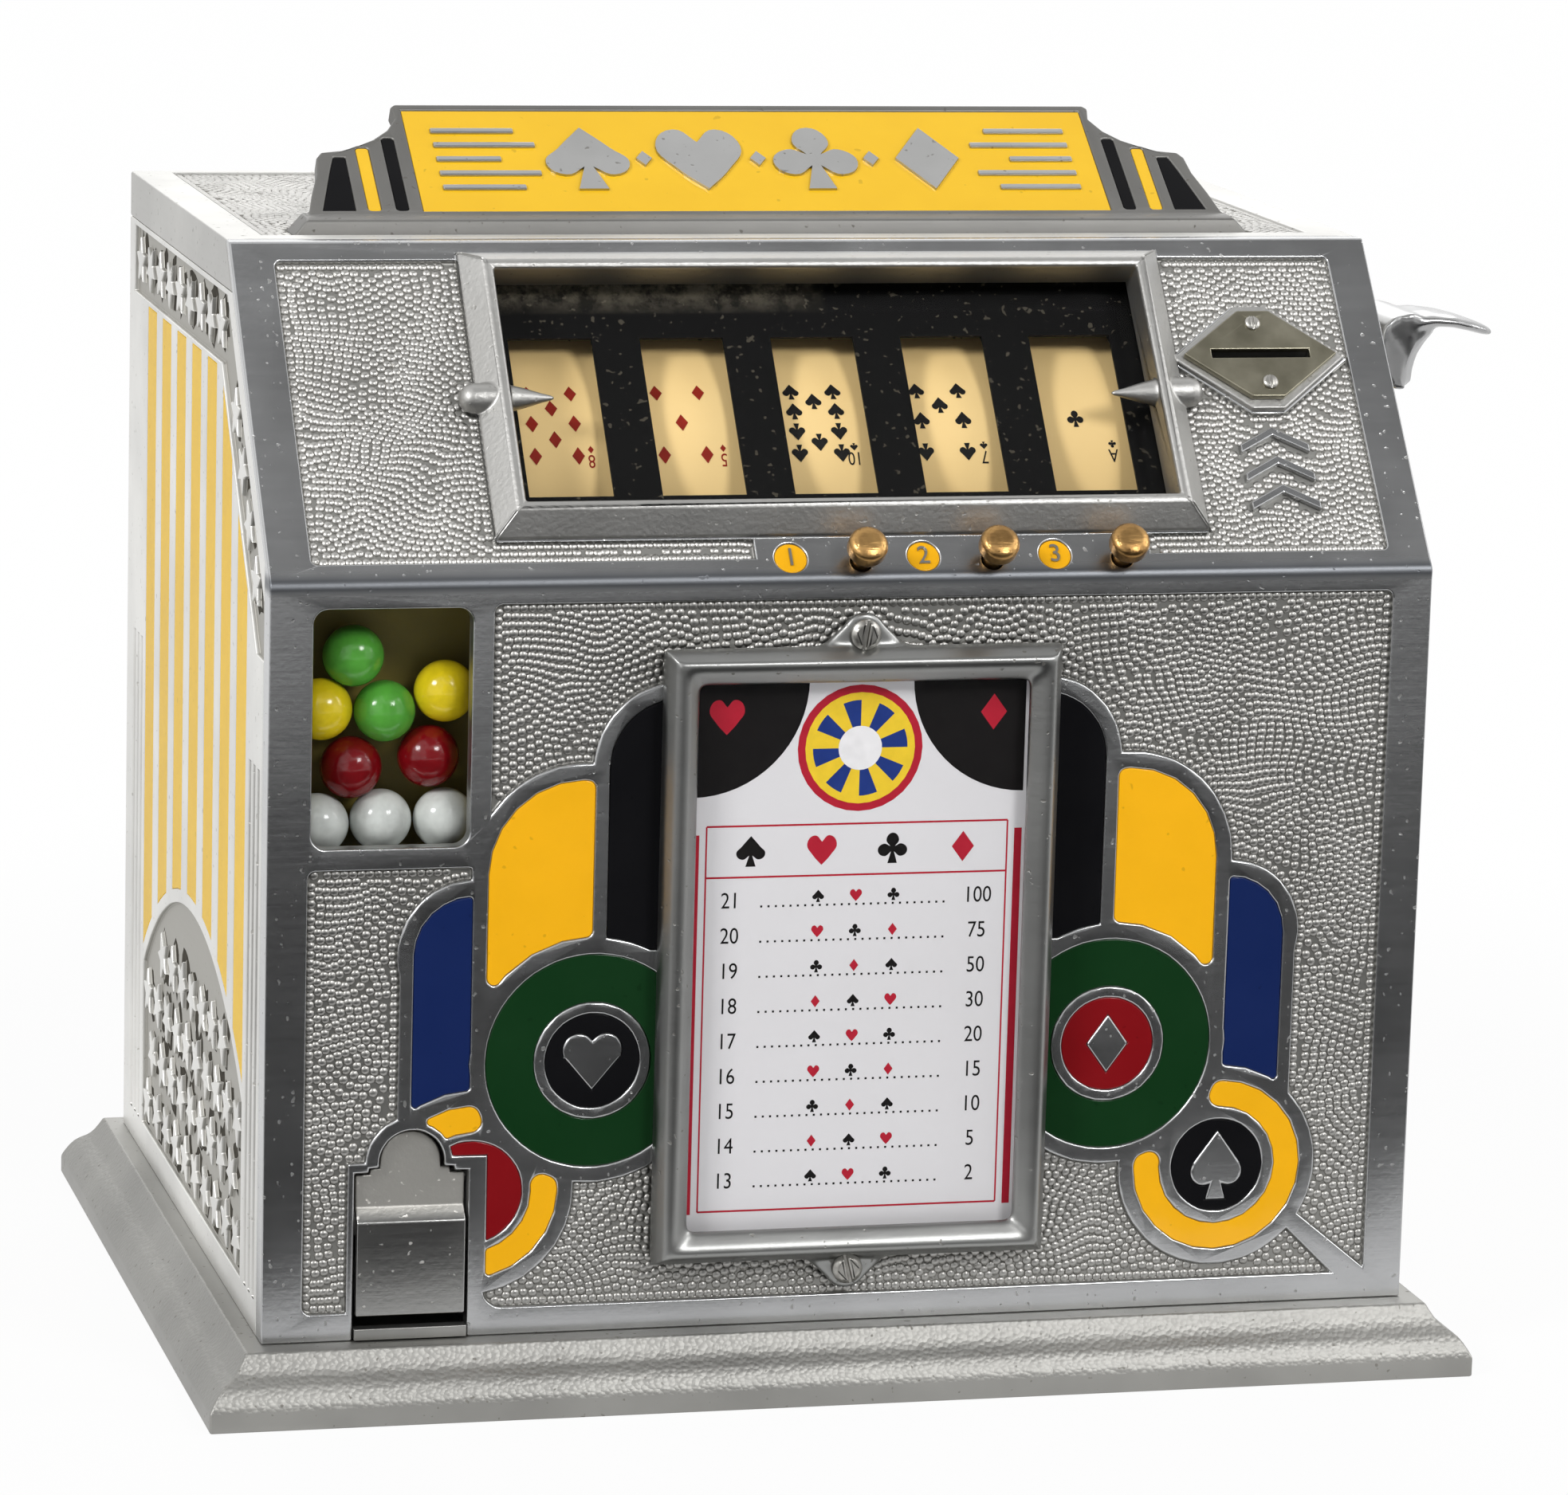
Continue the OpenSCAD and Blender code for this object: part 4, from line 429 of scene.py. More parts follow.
def pebbled(name, node, plane, is_floor, tall=0.4, clear_of=None, seed=1, finish=pebble_metal):
    """Covers a sunk field with pebbles: a row along its rim, and eddies inside."""
    pitch = 1.75 * mm
    floor = floor_of(node, plane, is_floor)
    surface = BVHTree.FromBMesh(floor)
    rows, rim = rim_rows(floor, 0.5 * pitch, pitch)
    edge_of = tree_of([Vector((at.x, at.y, 0)) for at in rim])
    lo = Vector([min(v.co[i] for v in floor.verts) for i in range(3)])
    hi = Vector([max(v.co[i] for v in floor.verts) for i in range(3)])
    floor.free()
    margin = 6 * mm
    inner = []
    for j in range(int((hi.y - lo.y + 2 * margin) / (0.87 * pitch))):
        for i in range(int((hi.x - lo.x + 2 * margin) / pitch)):
            at = Vector((lo.x - margin + (i + 0.5 * (j % 2)) * pitch,
                         lo.y - margin + j * 0.87 * pitch, 0))
            inner.append(swirled(at, 3 * mm, 20 * mm, seed))

    def under(at):
        """Where the floor lies below a point, and its normal there."""
        return surface.ray_cast(Vector((at.x, at.y, hi.z + 1 * mm)), Vector((0, 0, -1)))[:2]

    def settle(points, taken, spacing, near_rim):
        """Adds the points that fall on the floor, off its rim and off each other."""
        cells = {}
        for at in taken:
            cells.setdefault((int(at.x // pitch), int(at.y // pitch)), []).append(at)
        for at in points:
            at = Vector((at.x, at.y, 0))
            x, y = int(at.x // pitch), int(at.y // pitch)
            around = [p for i in (-1, 0, 1) for k in (-1, 0, 1) for p in cells.get((x + i, y + k), ())]
            if any((at - p).length < spacing * pitch for p in around):
                continue
            if edge_of.find(at)[2] < near_rim * pitch:
                continue
            if under(at)[0]:
                cells.setdefault((x, y), []).append(at)
                taken.append(at)
        return taken

    kept = settle(rows, [], 0.8, 0.42)
    in_rows = len(kept)
    kept = spread(settle(inner, kept, 0.66, 0.95), in_rows, pitch, edge_of)
    kept = settle(inner, kept, 0.78, 0.8)
    places = []
    for at in kept:
        hit, normal = under(at)
        if hit and not (clear_of and clear_of.find_nearest(plane @ hit, 0.5 * pitch)[0]):
            places.append((hit, normal))
    rng = random.Random(seed)
    shape, last = pebble_shape(), Matrix.Identity(4)
    # Each dome is darker towards its foot: dirt and painted shade between the pebbles.
    lows = [1.0 - min(1.0, v.co.z / 0.95) for v in shape.vertices]
    bm = bmesh.new()
    for hit, normal in places:
        width = 0.6 * pitch * rng.uniform(0.95, 1.04)
        place = (plane @ Matrix.Translation(hit) @ normal.to_track_quat("Z", "Y").to_matrix().to_4x4()
                 @ Matrix.Rotation(rng.uniform(0, 6.28), 4, "Z")
                 @ Matrix.Diagonal((width, width * rng.uniform(0.9, 1.0), tall * mm, 1)))
        shape.transform(place @ last.inverted())
        last = place
        bm.from_mesh(shape)
    piece = build(name, bm, finish, body_of[node])
    low = piece.data.attributes.new("low", "FLOAT", "POINT")
    low.data.foreach_set("value", lows * len(places))


plate_steel = Finish("zinc plate", Metallic=1.0)
cloud = plate_steel.noise(30, detail=4)
plate_steel.set(Base_Color=plate_steel.mix(cloud, (0.16, 0.16, 0.155), (0.26, 0.255, 0.24)),
                Roughness=0.38 + cloud * 0.2,
                Normal=plate_steel.bump(plate_steel.noise(1200), 0.03 * mm))


# The front: one casting with the upright face, the sloped panel and narrow
# returns at the sides. Its sunk fields are pebbled, and the flat borders
# between them were rubbed bright on a belt and have dulled since.
knee_z, top_z = 171.5 * mm, 234.1 * mm
slope_angle = math.atan2(62.6, 53.5)
on_front = Matrix.Translation((0, flat_front, 0)) @ rotated(90, "X")
on_slope = Matrix.Translation((0, flat_front, knee_z)) @ Matrix.Rotation(slope_angle, 4, "X")
faces_out = [(Vector((0, flat_front, 0)), Vector((0, -1, 0))),
             (Vector((0, flat_front, knee_z)), on_slope.to_3x3() @ Vector((0, 0, 1))),
             (Vector((0, 0, top_z)), Vector((0, 0, 1))),
             (Vector((-flat_half_w, 0, 0)), Vector((-1, 0, 0))),
             (Vector((flat_half_w, 0, 0)), Vector((1, 0, 0)))]

# The knee is rougher and its colour is darkened as painted shade, so it mirrors less than the flats above and
# below it
rough, colour = (Value(polished, polished.shader.inputs[name].links[0].from_socket)
                 for name in ("Roughness", "Base Color"))
height = polished.node("ShaderNodeSeparateXYZ", None, polished.place(), out=2)
knee_dull_and_shaded = (1.0 - abs(height - knee_z) * 420).most(0.0)
polished.set(Roughness=rough + knee_dull_and_shaded * 0.2,
             Base_Color=polished.mix((knee_dull_and_shaded * 1.6).least(1.0), colour, (0.15, 0.157, 0.168)))
soften("front_casting", polished, 0.45, planes=faces_out)


def sunk(depth):
    """Picks the faces that lie a given depth below a plane and face up from it."""
    return lambda f: f.normal.z > 0.999 and abs(f.calc_center_median().z + depth * mm) < 0.03 * mm


pebble_depth = 1.1


def shifted(x, y, z):
    """A move by so many millimetres."""
    return Matrix.Translation((x * mm, y * mm, z * mm))


def solid_of(name):
    """What other pieces are kept clear of."""
    bm = bmesh.new()
    bm.from_mesh(bpy.data.objects[name].data)
    tree = BVHTree.FromBMesh(bm)
    bm.free()
    return tree


# Three raised chevrons in the field point up to the coin slot
chevrons = bmesh.new()
coin_x, chevron_half, chevron_rise, chevron_band, chevron_proud = 93.4, 7.5, 4.2, 1.9, 0.1
for t in (21, 28, 35):
    corners = [(-chevron_half, -chevron_rise), (0, 0), (chevron_half, -chevron_rise)]
    outline = corners + [(x, y - chevron_band) for x, y in reversed(corners)]
    base = [chevrons.verts.new((x * mm, y * mm, -pebble_depth * mm)) for x, y in outline]
    halves = [chevrons.faces.new((base[0], base[5], base[4], base[1])),
              chevrons.faces.new((base[1], base[4], base[3], base[2]))]
    raised = bmesh.ops.extrude_face_region(chevrons, geom=halves)["geom"]
    tops = [v for v in raised if isinstance(v, bmesh.types.BMVert)]
    bmesh.ops.translate(chevrons, vec=(0, 0, (pebble_depth + chevron_proud) * mm), verts=tops)
    bmesh.ops.transform(chevrons, matrix=on_slope @ shifted(coin_x, t, 0), verts=base + tops)
bmesh.ops.recalc_face_normals(chevrons, faces=chevrons.faces)
rims = [e for e in chevrons.edges if e.is_manifold and e.calc_face_angle(0) > math.radians(30)]
eased(chevrons, rims, 0.25)
build("coin_chevrons", chevrons, polished, weigh=True)

# The front's pebbles are a darker copy of the slope's: painted shade on the upright face.
pebbles_with_painted_shade = cast_metal("darker pebbles", (0.4, 0.394, 0.378), rough=0.36, low_and_pit_colour=(0.2, 0.192, 0.172))
pebbled("front_pebbles", "front_casting", on_front, sunk(pebble_depth), seed=3, finish=pebbles_with_painted_shade)
pebbled("slope_pebbles", "front_casting", on_slope, sunk(pebble_depth), seed=5,
        clear_of=solid_of("coin_chevrons"))


# The enamel: glass paste melted into pockets of the casting, so it swells a
# little at its edges and lies in a smooth, glossy pool.
def enamel(name, colour, gloss=0.28):
    """Fired enamel: a little cloudy and rippled, with a few dark specks."""
    finish = Finish(name, Roughness=0.12, Specular_IOR_Level=gloss)
    cloud = finish.noise(60, detail=3)
    speck = finish.ramp(finish.noise(500, detail=1), (0.74, 0.0), (0.78, 1.0))
    pale = tuple(min(1, 1.05 * c + 0.004) for c in colour)
    skin = finish.mix(cloud, toned(colour, 0.9), pale)
    finish.set(Base_Color=finish.mix(speck * 0.35, skin, toned(colour, 0.4)),
               Normal=finish.bump(finish.noise(160, detail=2), 0.05 * mm))
    return finish


enamels = {
    "yellow": enamel("yellow enamel", (0.93, 0.46, 0.006)),
    "black": enamel("black enamel", (0.005, 0.005, 0.006), gloss=0.05),
    "blue": enamel("blue enamel", (0.006, 0.018, 0.095)),
    "green": enamel("green enamel", (0.004, 0.035, 0.008)),
    "red": enamel("red enamel", (0.22, 0.003, 0.006)),
}
for colour, finish in enamels.items():
    soften("enamel_" + colour, finish, 0.22)


# The side panels: flat castings with relief, let in behind the front. Enamel
# stripes fan out from an arch of small stars, and dark patches round the stars
# are dirt and painted shade.
side_planes = {side: [(Vector((way * flat_half_w, 0, 0)), Vector((way, 0, 0))),
                      (Vector((0, flat_back, 0)), Vector((0, 1, 0)))]
               for side, way in (("left", -1), ("right", 1))}
side_metal = cast_metal("side aluminium", (0.72, 0.715, 0.69), rough=0.4, low_and_pit_colour=(0.36, 0.35, 0.32))
stripe_enamel = enamel("stripe enamel", (0.98, 0.6, 0.008), gloss=0.01)
# Black dirt and painted shade, for the patches round the stars.
dirt_and_painted_shade = Finish("black dirt and painted shade", Roughness=0.9, Specular_IOR_Level=0.1)
crumb = dirt_and_painted_shade.noise(500, detail=4)
star_least, star_most = 4, 60
ground_lift, patch_lift, patch_near, patch_far, patch_corners = 0.02, 0.05, 3.6, 7.4, 16
dirt_and_painted_shade.set(Base_Color=dirt_and_painted_shade.mix(crumb, (0.012, 0.011, 0.009), (0.11, 0.1, 0.08)),
             Normal=dirt_and_painted_shade.bump(crumb, 0.1 * mm))


def ground_and_dirt(side, plane):
    """The stars' sunk ground as a sheet, darkened in full, and dark patches on it between their points: dirt
    and painted shade.
    """
    point, out = plane
    panel = bmesh.new()
    panel.from_mesh(nodes["side_panel_" + side].data)
    bmesh.ops.remove_doubles(panel, verts=panel.verts, dist=doubles_gap)
    flush = dict.fromkeys(f for f in panel.faces if f.normal.dot(out) > 0.99
                          and abs((f.calc_center_median() - point).dot(out)) < 0.1 * mm)
    tops = []
    while flush:
        star, reached = [], [flush.popitem()[0]]
        while reached:
            star.append(reached.pop())
            for near in (f for e in star[-1].edges for f in e.link_faces if f in flush):
                del flush[near]
                reached.append(near)
        area = sum(f.calc_area() for f in star)
        if star_least < area / mm / mm < star_most:
            tops.append(sum((f.calc_center_median() * f.calc_area() for f in star), Vector()) / area)
    rest = [f for f in panel.faces if f.normal.dot(out) < 0.99
            or abs((point - f.calc_center_median()).dot(out) - pebble_depth * mm) > 0.1 * mm]
    bmesh.ops.delete(panel, geom=rest, context="FACES")
    # The whole ground takes the low colour: dirt and painted shade.
    low = panel.verts.layers.float.new("low")
    for vert in panel.verts:
        vert[low] = 1
        vert.co += out * ground_lift * mm
    build("star_ground_" + side, panel, side_metal)
    # A dark patch round each star: dirt, and painted shade.
    rng = random.Random(11)
    patches = bmesh.new()
    for top in tops:
        aside = Vector((0, rng.uniform(-1, 1), rng.uniform(-1, 1))) * mm
        middle = top - out * (pebble_depth - patch_lift) * mm + aside
        spots = []
        for k in range(patch_corners):
            reach = rng.uniform(patch_near, patch_far) * mm
            turned = math.tau * k / patch_corners
            away = Vector((0, math.cos(turned), math.sin(turned)))
            spots.append(patches.verts.new(middle + away * reach))
        face = patches.faces.new(spots)
        face.normal_update()
        if face.normal.dot(out) < 0:
            face.normal_flip()
    bmesh.ops.triangulate(patches, faces=patches.faces)
    build("star_dirt_" + side, patches, dirt_and_painted_shade)


# The stripes' faces are drawn out almost flush with the metal between them
stripe_face, stripe_flush = 122.05 * mm, 122.44 * mm
for side, planes in side_planes.items():
    soften("side_panel_" + side, side_metal, planes=planes)
    ground_and_dirt(side, planes[0])
    stripes = soften("stripes_" + side, stripe_enamel, 0.2)
    for vert in stripes.data.vertices:
        if abs(vert.co.x) > stripe_face:
            vert.co.x = math.copysign(stripe_flush, vert.co.x)


# The lid: a shallow casting with a pebbled field, that drops over the sides
# and the back. The name board in front is screwed to it through three gussets.
lid_metal = cast_metal("lid aluminium", (0.5, 0.495, 0.475))
soften("top_lid", lid_metal, 0.6, planes=faces_out[2:])
board_metal = cast_metal("board aluminium", (0.19, 0.187, 0.178), rough=0.52)
soften("marquee", board_metal, 0.45)
soften("marquee_yellow", enamel("board enamel", (1.0, 0.58, 0.012)), 0.22)
soften("marquee_black", enamels["black"], 0.22)
on_lid = Matrix.Translation((0, 0, top_z))
pebbled("lid_pebbles", "top_lid", on_lid, sunk(0.8), tall=0.35, seed=7,
        clear_of=solid_of("marquee"))


# The board's ornament, cast in one with it: the four card suits between
# ruled lines, standing up through the yellow enamel.
suit_outlines = {
    "heart": [("V", 0, 0.26), ("A", 0.24, 0.47), ("A", 0.49, 0.2), ("A", 0.3, -0.17), ("V", 0, -0.5)],
    "spade": [("V", 0, 0.5), ("A", 0.3, 0.16), ("A", 0.48, -0.08), ("A", 0.28, -0.27),
              ("V", 0.05, -0.14), ("V", 0.17, -0.5)],
    "club": [("A", 0, 0.5), ("A", 0.21, 0.28), ("V", 0.08, 0.06), ("A", 0.3, 0.14),
             ("A", 0.49, -0.07), ("A", 0.28, -0.27), ("V", 0.05, -0.12), ("V", 0.16, -0.5)],
    "diamond": [("V", 0, 0.5), ("V", 0.37, 0), ("V", 0, -0.5)],
}
suits = ("spade", "heart", "club", "diamond")


def flat_mesh(curve, thick=0.0):
    """Turns a flat curve into a mesh, thick if it stands up from its ground."""
    curve.dimensions, curve.fill_mode, curve.extrude = "2D", "BOTH", thick / 2
    curve.resolution_u = 5
    drawn = bpy.data.objects.new("drawn", curve)
    scene.collection.objects.link(drawn)
    mesh = bpy.data.meshes.new_from_object(drawn.evaluated_get(bpy.context.evaluated_depsgraph_get()))
    bpy.data.objects.remove(drawn)
    return mesh


def suit(kind, thick=0.0):
    """A card suit one unit high, from the right half of its outline."""
    half = suit_outlines[kind]
    around = half + [(k, -x, y) for k, x, y in reversed(half) if x > 0]
    curve = bpy.data.curves.new(kind, "CURVE")
    line = curve.splines.new("BEZIER")
    line.bezier_points.add(len(around) - 1)
    line.use_cyclic_u = True
    for point, (knot, x, y) in zip(line.bezier_points, around):
        point.co = (x, y, 0)
        point.handle_left_type = point.handle_right_type = {"V": "VECTOR", "A": "AUTO"}[knot]
    return flat_mesh(curve, thick)


def figure(text, thick=0.0):
    """Plain figures one unit high, set on their middle."""
    curve = bpy.data.curves.new("figure", "FONT")
    curve.body, curve.size = text, 1.4
    curve.align_x, curve.align_y = "CENTER", "CENTER"
    return flat_mesh(curve, thick)


def stamp(bm, mesh, place):
    """Adds a shape to a piece, at its place."""
    mesh.transform(place)
    bm.from_mesh(mesh)
    mesh.transform(place.inverted())


def bar(bm, place, x, y, z, width, height, thick, edge):
    """Adds a flat bar with eased edges, sizes in millimetres."""
    made = bmesh.ops.create_cube(bm, size=1)["verts"]
    bmesh.ops.scale(bm, vec=(width * mm, height * mm, thick * mm), verts=made)
    edges = list(dict.fromkeys(e for v in made for e in v.link_edges))
    made = eased(bm, edges, edge)
    bmesh.ops.transform(bm, matrix=place @ shifted(x, y, z), verts=made)


def scaled(x, y, z, size, thick=1.0, turn=0.0, wide=1.0):
    """Where a shape goes on its plane, in millimetres."""
    size_of = Matrix.Diagonal((size * wide * mm, size * mm, thick * mm, 1))
    return shifted(x, y, z) @ rotated(turn, "Z") @ size_of


on_board = Matrix.Translation((-2.5 * mm, -23.8 * mm, top_z)) @ rotated(34, "X")
board_middle, suit_high, suit_apart, relief, relief_middle = 23.4, 20, 25, 1.3, -0.9 + 0.65
line_end, line_apart, line_thick = 70, 4.6, 1.5
ornament = bmesh.new()
for k, kind in enumerate(suits):
    place = scaled((k - 1.5) * suit_apart, board_middle, relief_middle, suit_high, relief, wide=0.95)
    stamp(ornament, suit(kind, 1.0), on_board @ place)
for way in (-1, 1):
    for k, length in enumerate((18, 22, 14, 22, 18)):
        bar(ornament, on_board, way * (line_end - length / 2), board_middle + (k - 2) * line_apart,
            relief_middle, length, line_thick, relief, 0.3)
for x in (-suit_apart, 0, suit_apart):
    place = scaled(x, board_middle, relief_middle, 4.6, relief)
    stamp(ornament, suit("diamond", 1.0), on_board @ place)
for face in ornament.faces:
    face.smooth = False
ornament_metal = cast_metal("rubbed relief", (0.42, 0.42, 0.415), rough=0.3)
build("board_ornament", ornament, ornament_metal)


# The reel window: a clear pane behind the cast frame, a black-painted mask
# with five slits, and five drums that each carry a printed paper strip. Dust
# has settled on the mask, and the paper has browned.
def dress(node, finish):
    """Gives a CAD node that keeps its own mesh its finish."""
    obj = nodes[node]
    if not obj.material_slots:
        obj.data.materials.append(finish.material)
    for one in obj.material_slots:
        one.material = finish.material


# Clear glass that lets lamp light through to what lies behind it
white = (1.0, 1.0, 1.0)
glass = Finish("window glass", Transmission_Weight=1.0, IOR=1.2, Roughness=0.0)
glass.set(Base_Color=glass.mix(glass.noise(30, detail=4), white, toned(white, 0.97)))
clear = glass.node("ShaderNodeBsdfTransparent", None, (*white, 1))
glass.give_way(glass.on_rays("Shadow", "Diffuse", "Glossy"), clear)
dress("reel_glass", glass)

# The mask's paint: dust lies in its upper left corner, and specks all over
mask_paint = Finish("dull black paint", Specular_IOR_Level=0.08)
at = mask_paint.place()
across, up = (mask_paint.node("ShaderNodeSeparateXYZ", None, at, out=k) for k in (0, 2))
corner = ((up - 0.2185) * 260).most(0.0).least(1.0) * ((0.004 - across) * 120).most(0.0).least(1.0)
cloud = mask_paint.ramp(mask_paint.noise(240, detail=5, rough=0.75), (0.4, 0.15), (0.62, 1.0))
speck = mask_paint.ramp(mask_paint.noise(700, detail=1), (0.67, 0.0), (0.72, 1.0))
dust = corner * cloud + speck * 0.5
mask_paint.set(Base_Color=mask_paint.mix(dust, (0.003, 0.003, 0.003), (0.13, 0.115, 0.085)),
               Roughness=0.55 + dust * 0.2, Normal=mask_paint.bump(speck, 0.05 * mm))
dress("reel_mask", mask_paint)

reel_y, reel_z, reel_pitch, paper_r, paper_w = -21.888, 169.276, 28, 44.0, 21
drum_metal = cast_metal("spun drum", (0.5, 0.47, 0.4), rough=0.35)
paper = Finish("browned paper", Roughness=0.75)
stain = paper.noise(35, detail=5, rough=0.6)
fibre = paper.noise(700, detail=2)
paper.set(Base_Color=paper.mix(stain * 0.8 + fibre * 0.2, (1.0, 0.74, 0.34), (0.95, 0.66, 0.27)),
          Normal=paper.bump(fibre, 0.02 * mm))
prints = {}
for name, ink in (("red", (0.22, 0.015, 0.008)), ("black", (0.008, 0.0075, 0.007))):
    finish = Finish(name + " print", Roughness=0.6, Specular_IOR_Level=0.1)
    finish.set(Base_Color=finish.mix(finish.noise(500, detail=2), ink, toned(ink, 1.7)))
    prints[name] = finish

# Which pips a card shows: columns and rows about the middle of its block
four, six, eight = ([(c, r) for c in (-1, 1) for r in rows]
                    for rows in ((1.5, -1.5), (1.5, 0, -1.5), (1.5, 0.5, -0.5, -1.5)))
pip_rows = {"A": [(0, 0)], "2": [(0, 1.5), (0, -1.5)], "3": [(0, 1.5), (0, 0), (0, -1.5)],
            "4": four, "5": four + [(0, 0)], "6": six, "7": six + [(0, 0.75)],
            "8": six + [(0, 0.75), (0, -0.75)], "9": eight + [(0, 0)],
            "10": eight + [(0, 1), (0, -1)]}
ranks = list(pip_rows)
ink_of = {"spade": "black", "club": "black", "heart": "red", "diamond": "red"}
suits_shown = ("diamond", "diamond", "spade", "spade", "club")
first_rank = ("8", "5", "10", "7", "A")
column, row, pip, block_turn = 4.5, 5.0, 4.0, -0.9
block_x = (-1.6, -2.4, -1.6, -2.5, -1.6)
index_x, index_down, cards, card_turn, print_lift = 5.6, 8.6, 8, 45, 0.06
per_mm = 180 / (math.pi * paper_r)


def round_drum(i, x, turn):
    """The place of a flat print on drum i, turned up from the window's middle."""
    up = Matrix.Rotation(slope_angle + math.radians(-turn), 4, "X")
    return shifted((i - 2) * reel_pitch, reel_y, reel_z) @ up @ shifted(x, 0, paper_r + print_lift)


for i in range(5):
    body = f"reel_{i + 1}"
    soften(body, drum_metal, 0.25)
    strip = bmesh.new()
    bmesh.ops.create_cone(strip, segments=120, radius1=paper_r * mm, radius2=paper_r * mm,
                          depth=paper_w * mm)
    bmesh.ops.rotate(strip, matrix=Matrix.Rotation(math.radians(90), 3, "Y"), verts=strip.verts)
    bmesh.ops.translate(strip, vec=((i - 2) * reel_pitch * mm, reel_y * mm, reel_z * mm),
                        verts=strip.verts)
    for face in strip.faces:
        face.smooth = True
    build(f"paper_strip_{i + 1}", strip, paper, body)
    inks = {"red": bmesh.new(), "black": bmesh.new()}
    for card in range(cards):
        rank = ranks[(ranks.index(first_rank[i]) + 3 * card) % 10]
        kind = suits_shown[i] if card == 0 else suits[(card + i) % 4]
        ink, shape, middle = inks[ink_of[kind]], suit(kind), block_turn + card * card_turn
        for c, r in pip_rows[rank]:
            place = round_drum(i, block_x[i] + c * column, middle + r * row * per_mm)
            stamp(ink, shape, place @ scaled(0, 0, 0, pip, turn=180 if r < 0 else 0, wide=0.9))
        low = middle - index_down * per_mm
        place = round_drum(i, index_x, low + 2.5 * per_mm)
        stamp(ink, shape, place @ scaled(0, 0, 0, 1.7, turn=180))
        place = round_drum(i, index_x, low)
        stamp(ink, figure(rank), place @ scaled(0, 0, 0, 3.0, turn=180, wide=0.75))
    for name, bm in inks.items():
        if len(bm.faces):
            build(f"{name}_pips_{i + 1}", bm, prints[name], body)
        else:
            bm.free()


# The controls on the slope: three brass buttons, each beside a raised figure
# on a yellow disc, and the nickel coin plate with its two screws.
def worked_metal(name, dark, light, rough=0.3, cloud_scale=30, lines=(1, 1, 1), depth=0.03):
    """Rolled, turned or plated metal: cloudy, with fine scratches along one way."""
    finish = Finish(name, Metallic=1.0)
    cloud = finish.noise(cloud_scale, detail=4, rough=0.6)
    scratch = finish.noise(320, detail=3, at=finish.place(lines))
    finish.set(Base_Color=finish.mix(finish.ramp(cloud, (0.3, 0.0), (0.7, 1.0)), dark, light),
               Roughness=rough + cloud * 0.16 + scratch * 0.08 - 0.1,
               Normal=finish.bump(scratch, depth * mm))
    return finish


brass = worked_metal("worn brass", (0.22, 0.12, 0.042), (0.56, 0.335, 0.125), rough=0.3,
                     cloud_scale=160, lines=(1, 6, 6), depth=0.06)
for k in (1, 2, 3):
    soften(f"button_{k}", brass, 0.4, sharp=14)
wire = worked_metal("spring wire", (0.34, 0.34, 0.33), (0.5, 0.5, 0.49), cloud_scale=200)
dress("button_springs", wire)

figures = bmesh.new()
disc_t, disc_xs, figure_high, figure_middle = 4.9, (-14.7, 13.3, 41.3), 4.2, -0.35
for text, x in zip("123", disc_xs):
    place = scaled(x, disc_t, figure_middle, figure_high, wide=0.9)
    stamp(figures, figure(text, 1.0), on_slope @ place)
for face in figures.faces:
    face.smooth = False
build("button_figures", figures, ornament_metal)

nickel = worked_metal("coin plate nickel", (0.24, 0.225, 0.165), (0.33, 0.31, 0.24), rough=0.34,
                      cloud_scale=90)
soften("coin_plate", nickel)
screw_steel = worked_metal("screw steel", (0.3, 0.29, 0.27), (0.5, 0.49, 0.46), rough=0.34, cloud_scale=220)
soften("coin_plate_screws", screw_steel, 0.15, sharp=40)


# The shutters: curved black blades that a button swings over a reel, on arms
# that turn about the reels' own shaft.
blade_paint = Finish("blade paint", Specular_IOR_Level=0.4)
rub = blade_paint.ramp(blade_paint.noise(180, detail=4, rough=0.7), (0.6, 0.0), (0.72, 1.0))
blade_paint.set(Base_Color=blade_paint.mix(rub, (0.012, 0.012, 0.012), (0.05, 0.048, 0.045)),
                Roughness=0.42 + rub * 0.2, Normal=blade_paint.bump(rub, 0.03 * mm))
for k in (1, 2, 3):
    soften(f"shutter_{k}", blade_paint, 0.15, sharp=40)


# The gum: a pane let in behind the front, and a painted hopper that holds the
# balls. Each ball has a hard sugar shell, with polish and a few dull spots.
dress("gum_glass", glass)
olive = Finish("olive paint")
cloud = olive.noise(40, detail=4, rough=0.6)
grain = olive.noise(600, detail=3)
olive.set(Base_Color=olive.mix(cloud, (0.12, 0.092, 0.011), (0.3, 0.235, 0.035)),
          Roughness=0.45 + cloud * 0.2, Normal=olive.bump(grain, 0.04 * mm))
soften("gum_hopper", olive, 0.2)

gum_colours = {"green": (0.09, 0.36, 0.045), "yellow": (0.78, 0.6, 0.012),
               "red": (0.19, 0.003, 0.006), "white": (0.66, 0.69, 0.66)}
for colour, shell in gum_colours.items():
    finish = Finish(colour + " gum shell", Specular_IOR_Level=0.5, Subsurface_Weight=0.0)
    mottle = finish.noise(190, detail=4, rough=0.65)
    scuff = finish.ramp(finish.noise(420, detail=3, rough=0.7), (0.6, 0.0), (0.7, 1.0))
    mottled = finish.ramp(mottle, (0.4, 0.0), (0.68, 1.0))
    finish.set(Base_Color=finish.mix(mottled, shell, toned(shell, 0.82)),
               Roughness=0.14 + scuff * 0.04, Normal=finish.bump(mottle, 0.008 * mm))
    dress("gumballs_" + colour, finish)

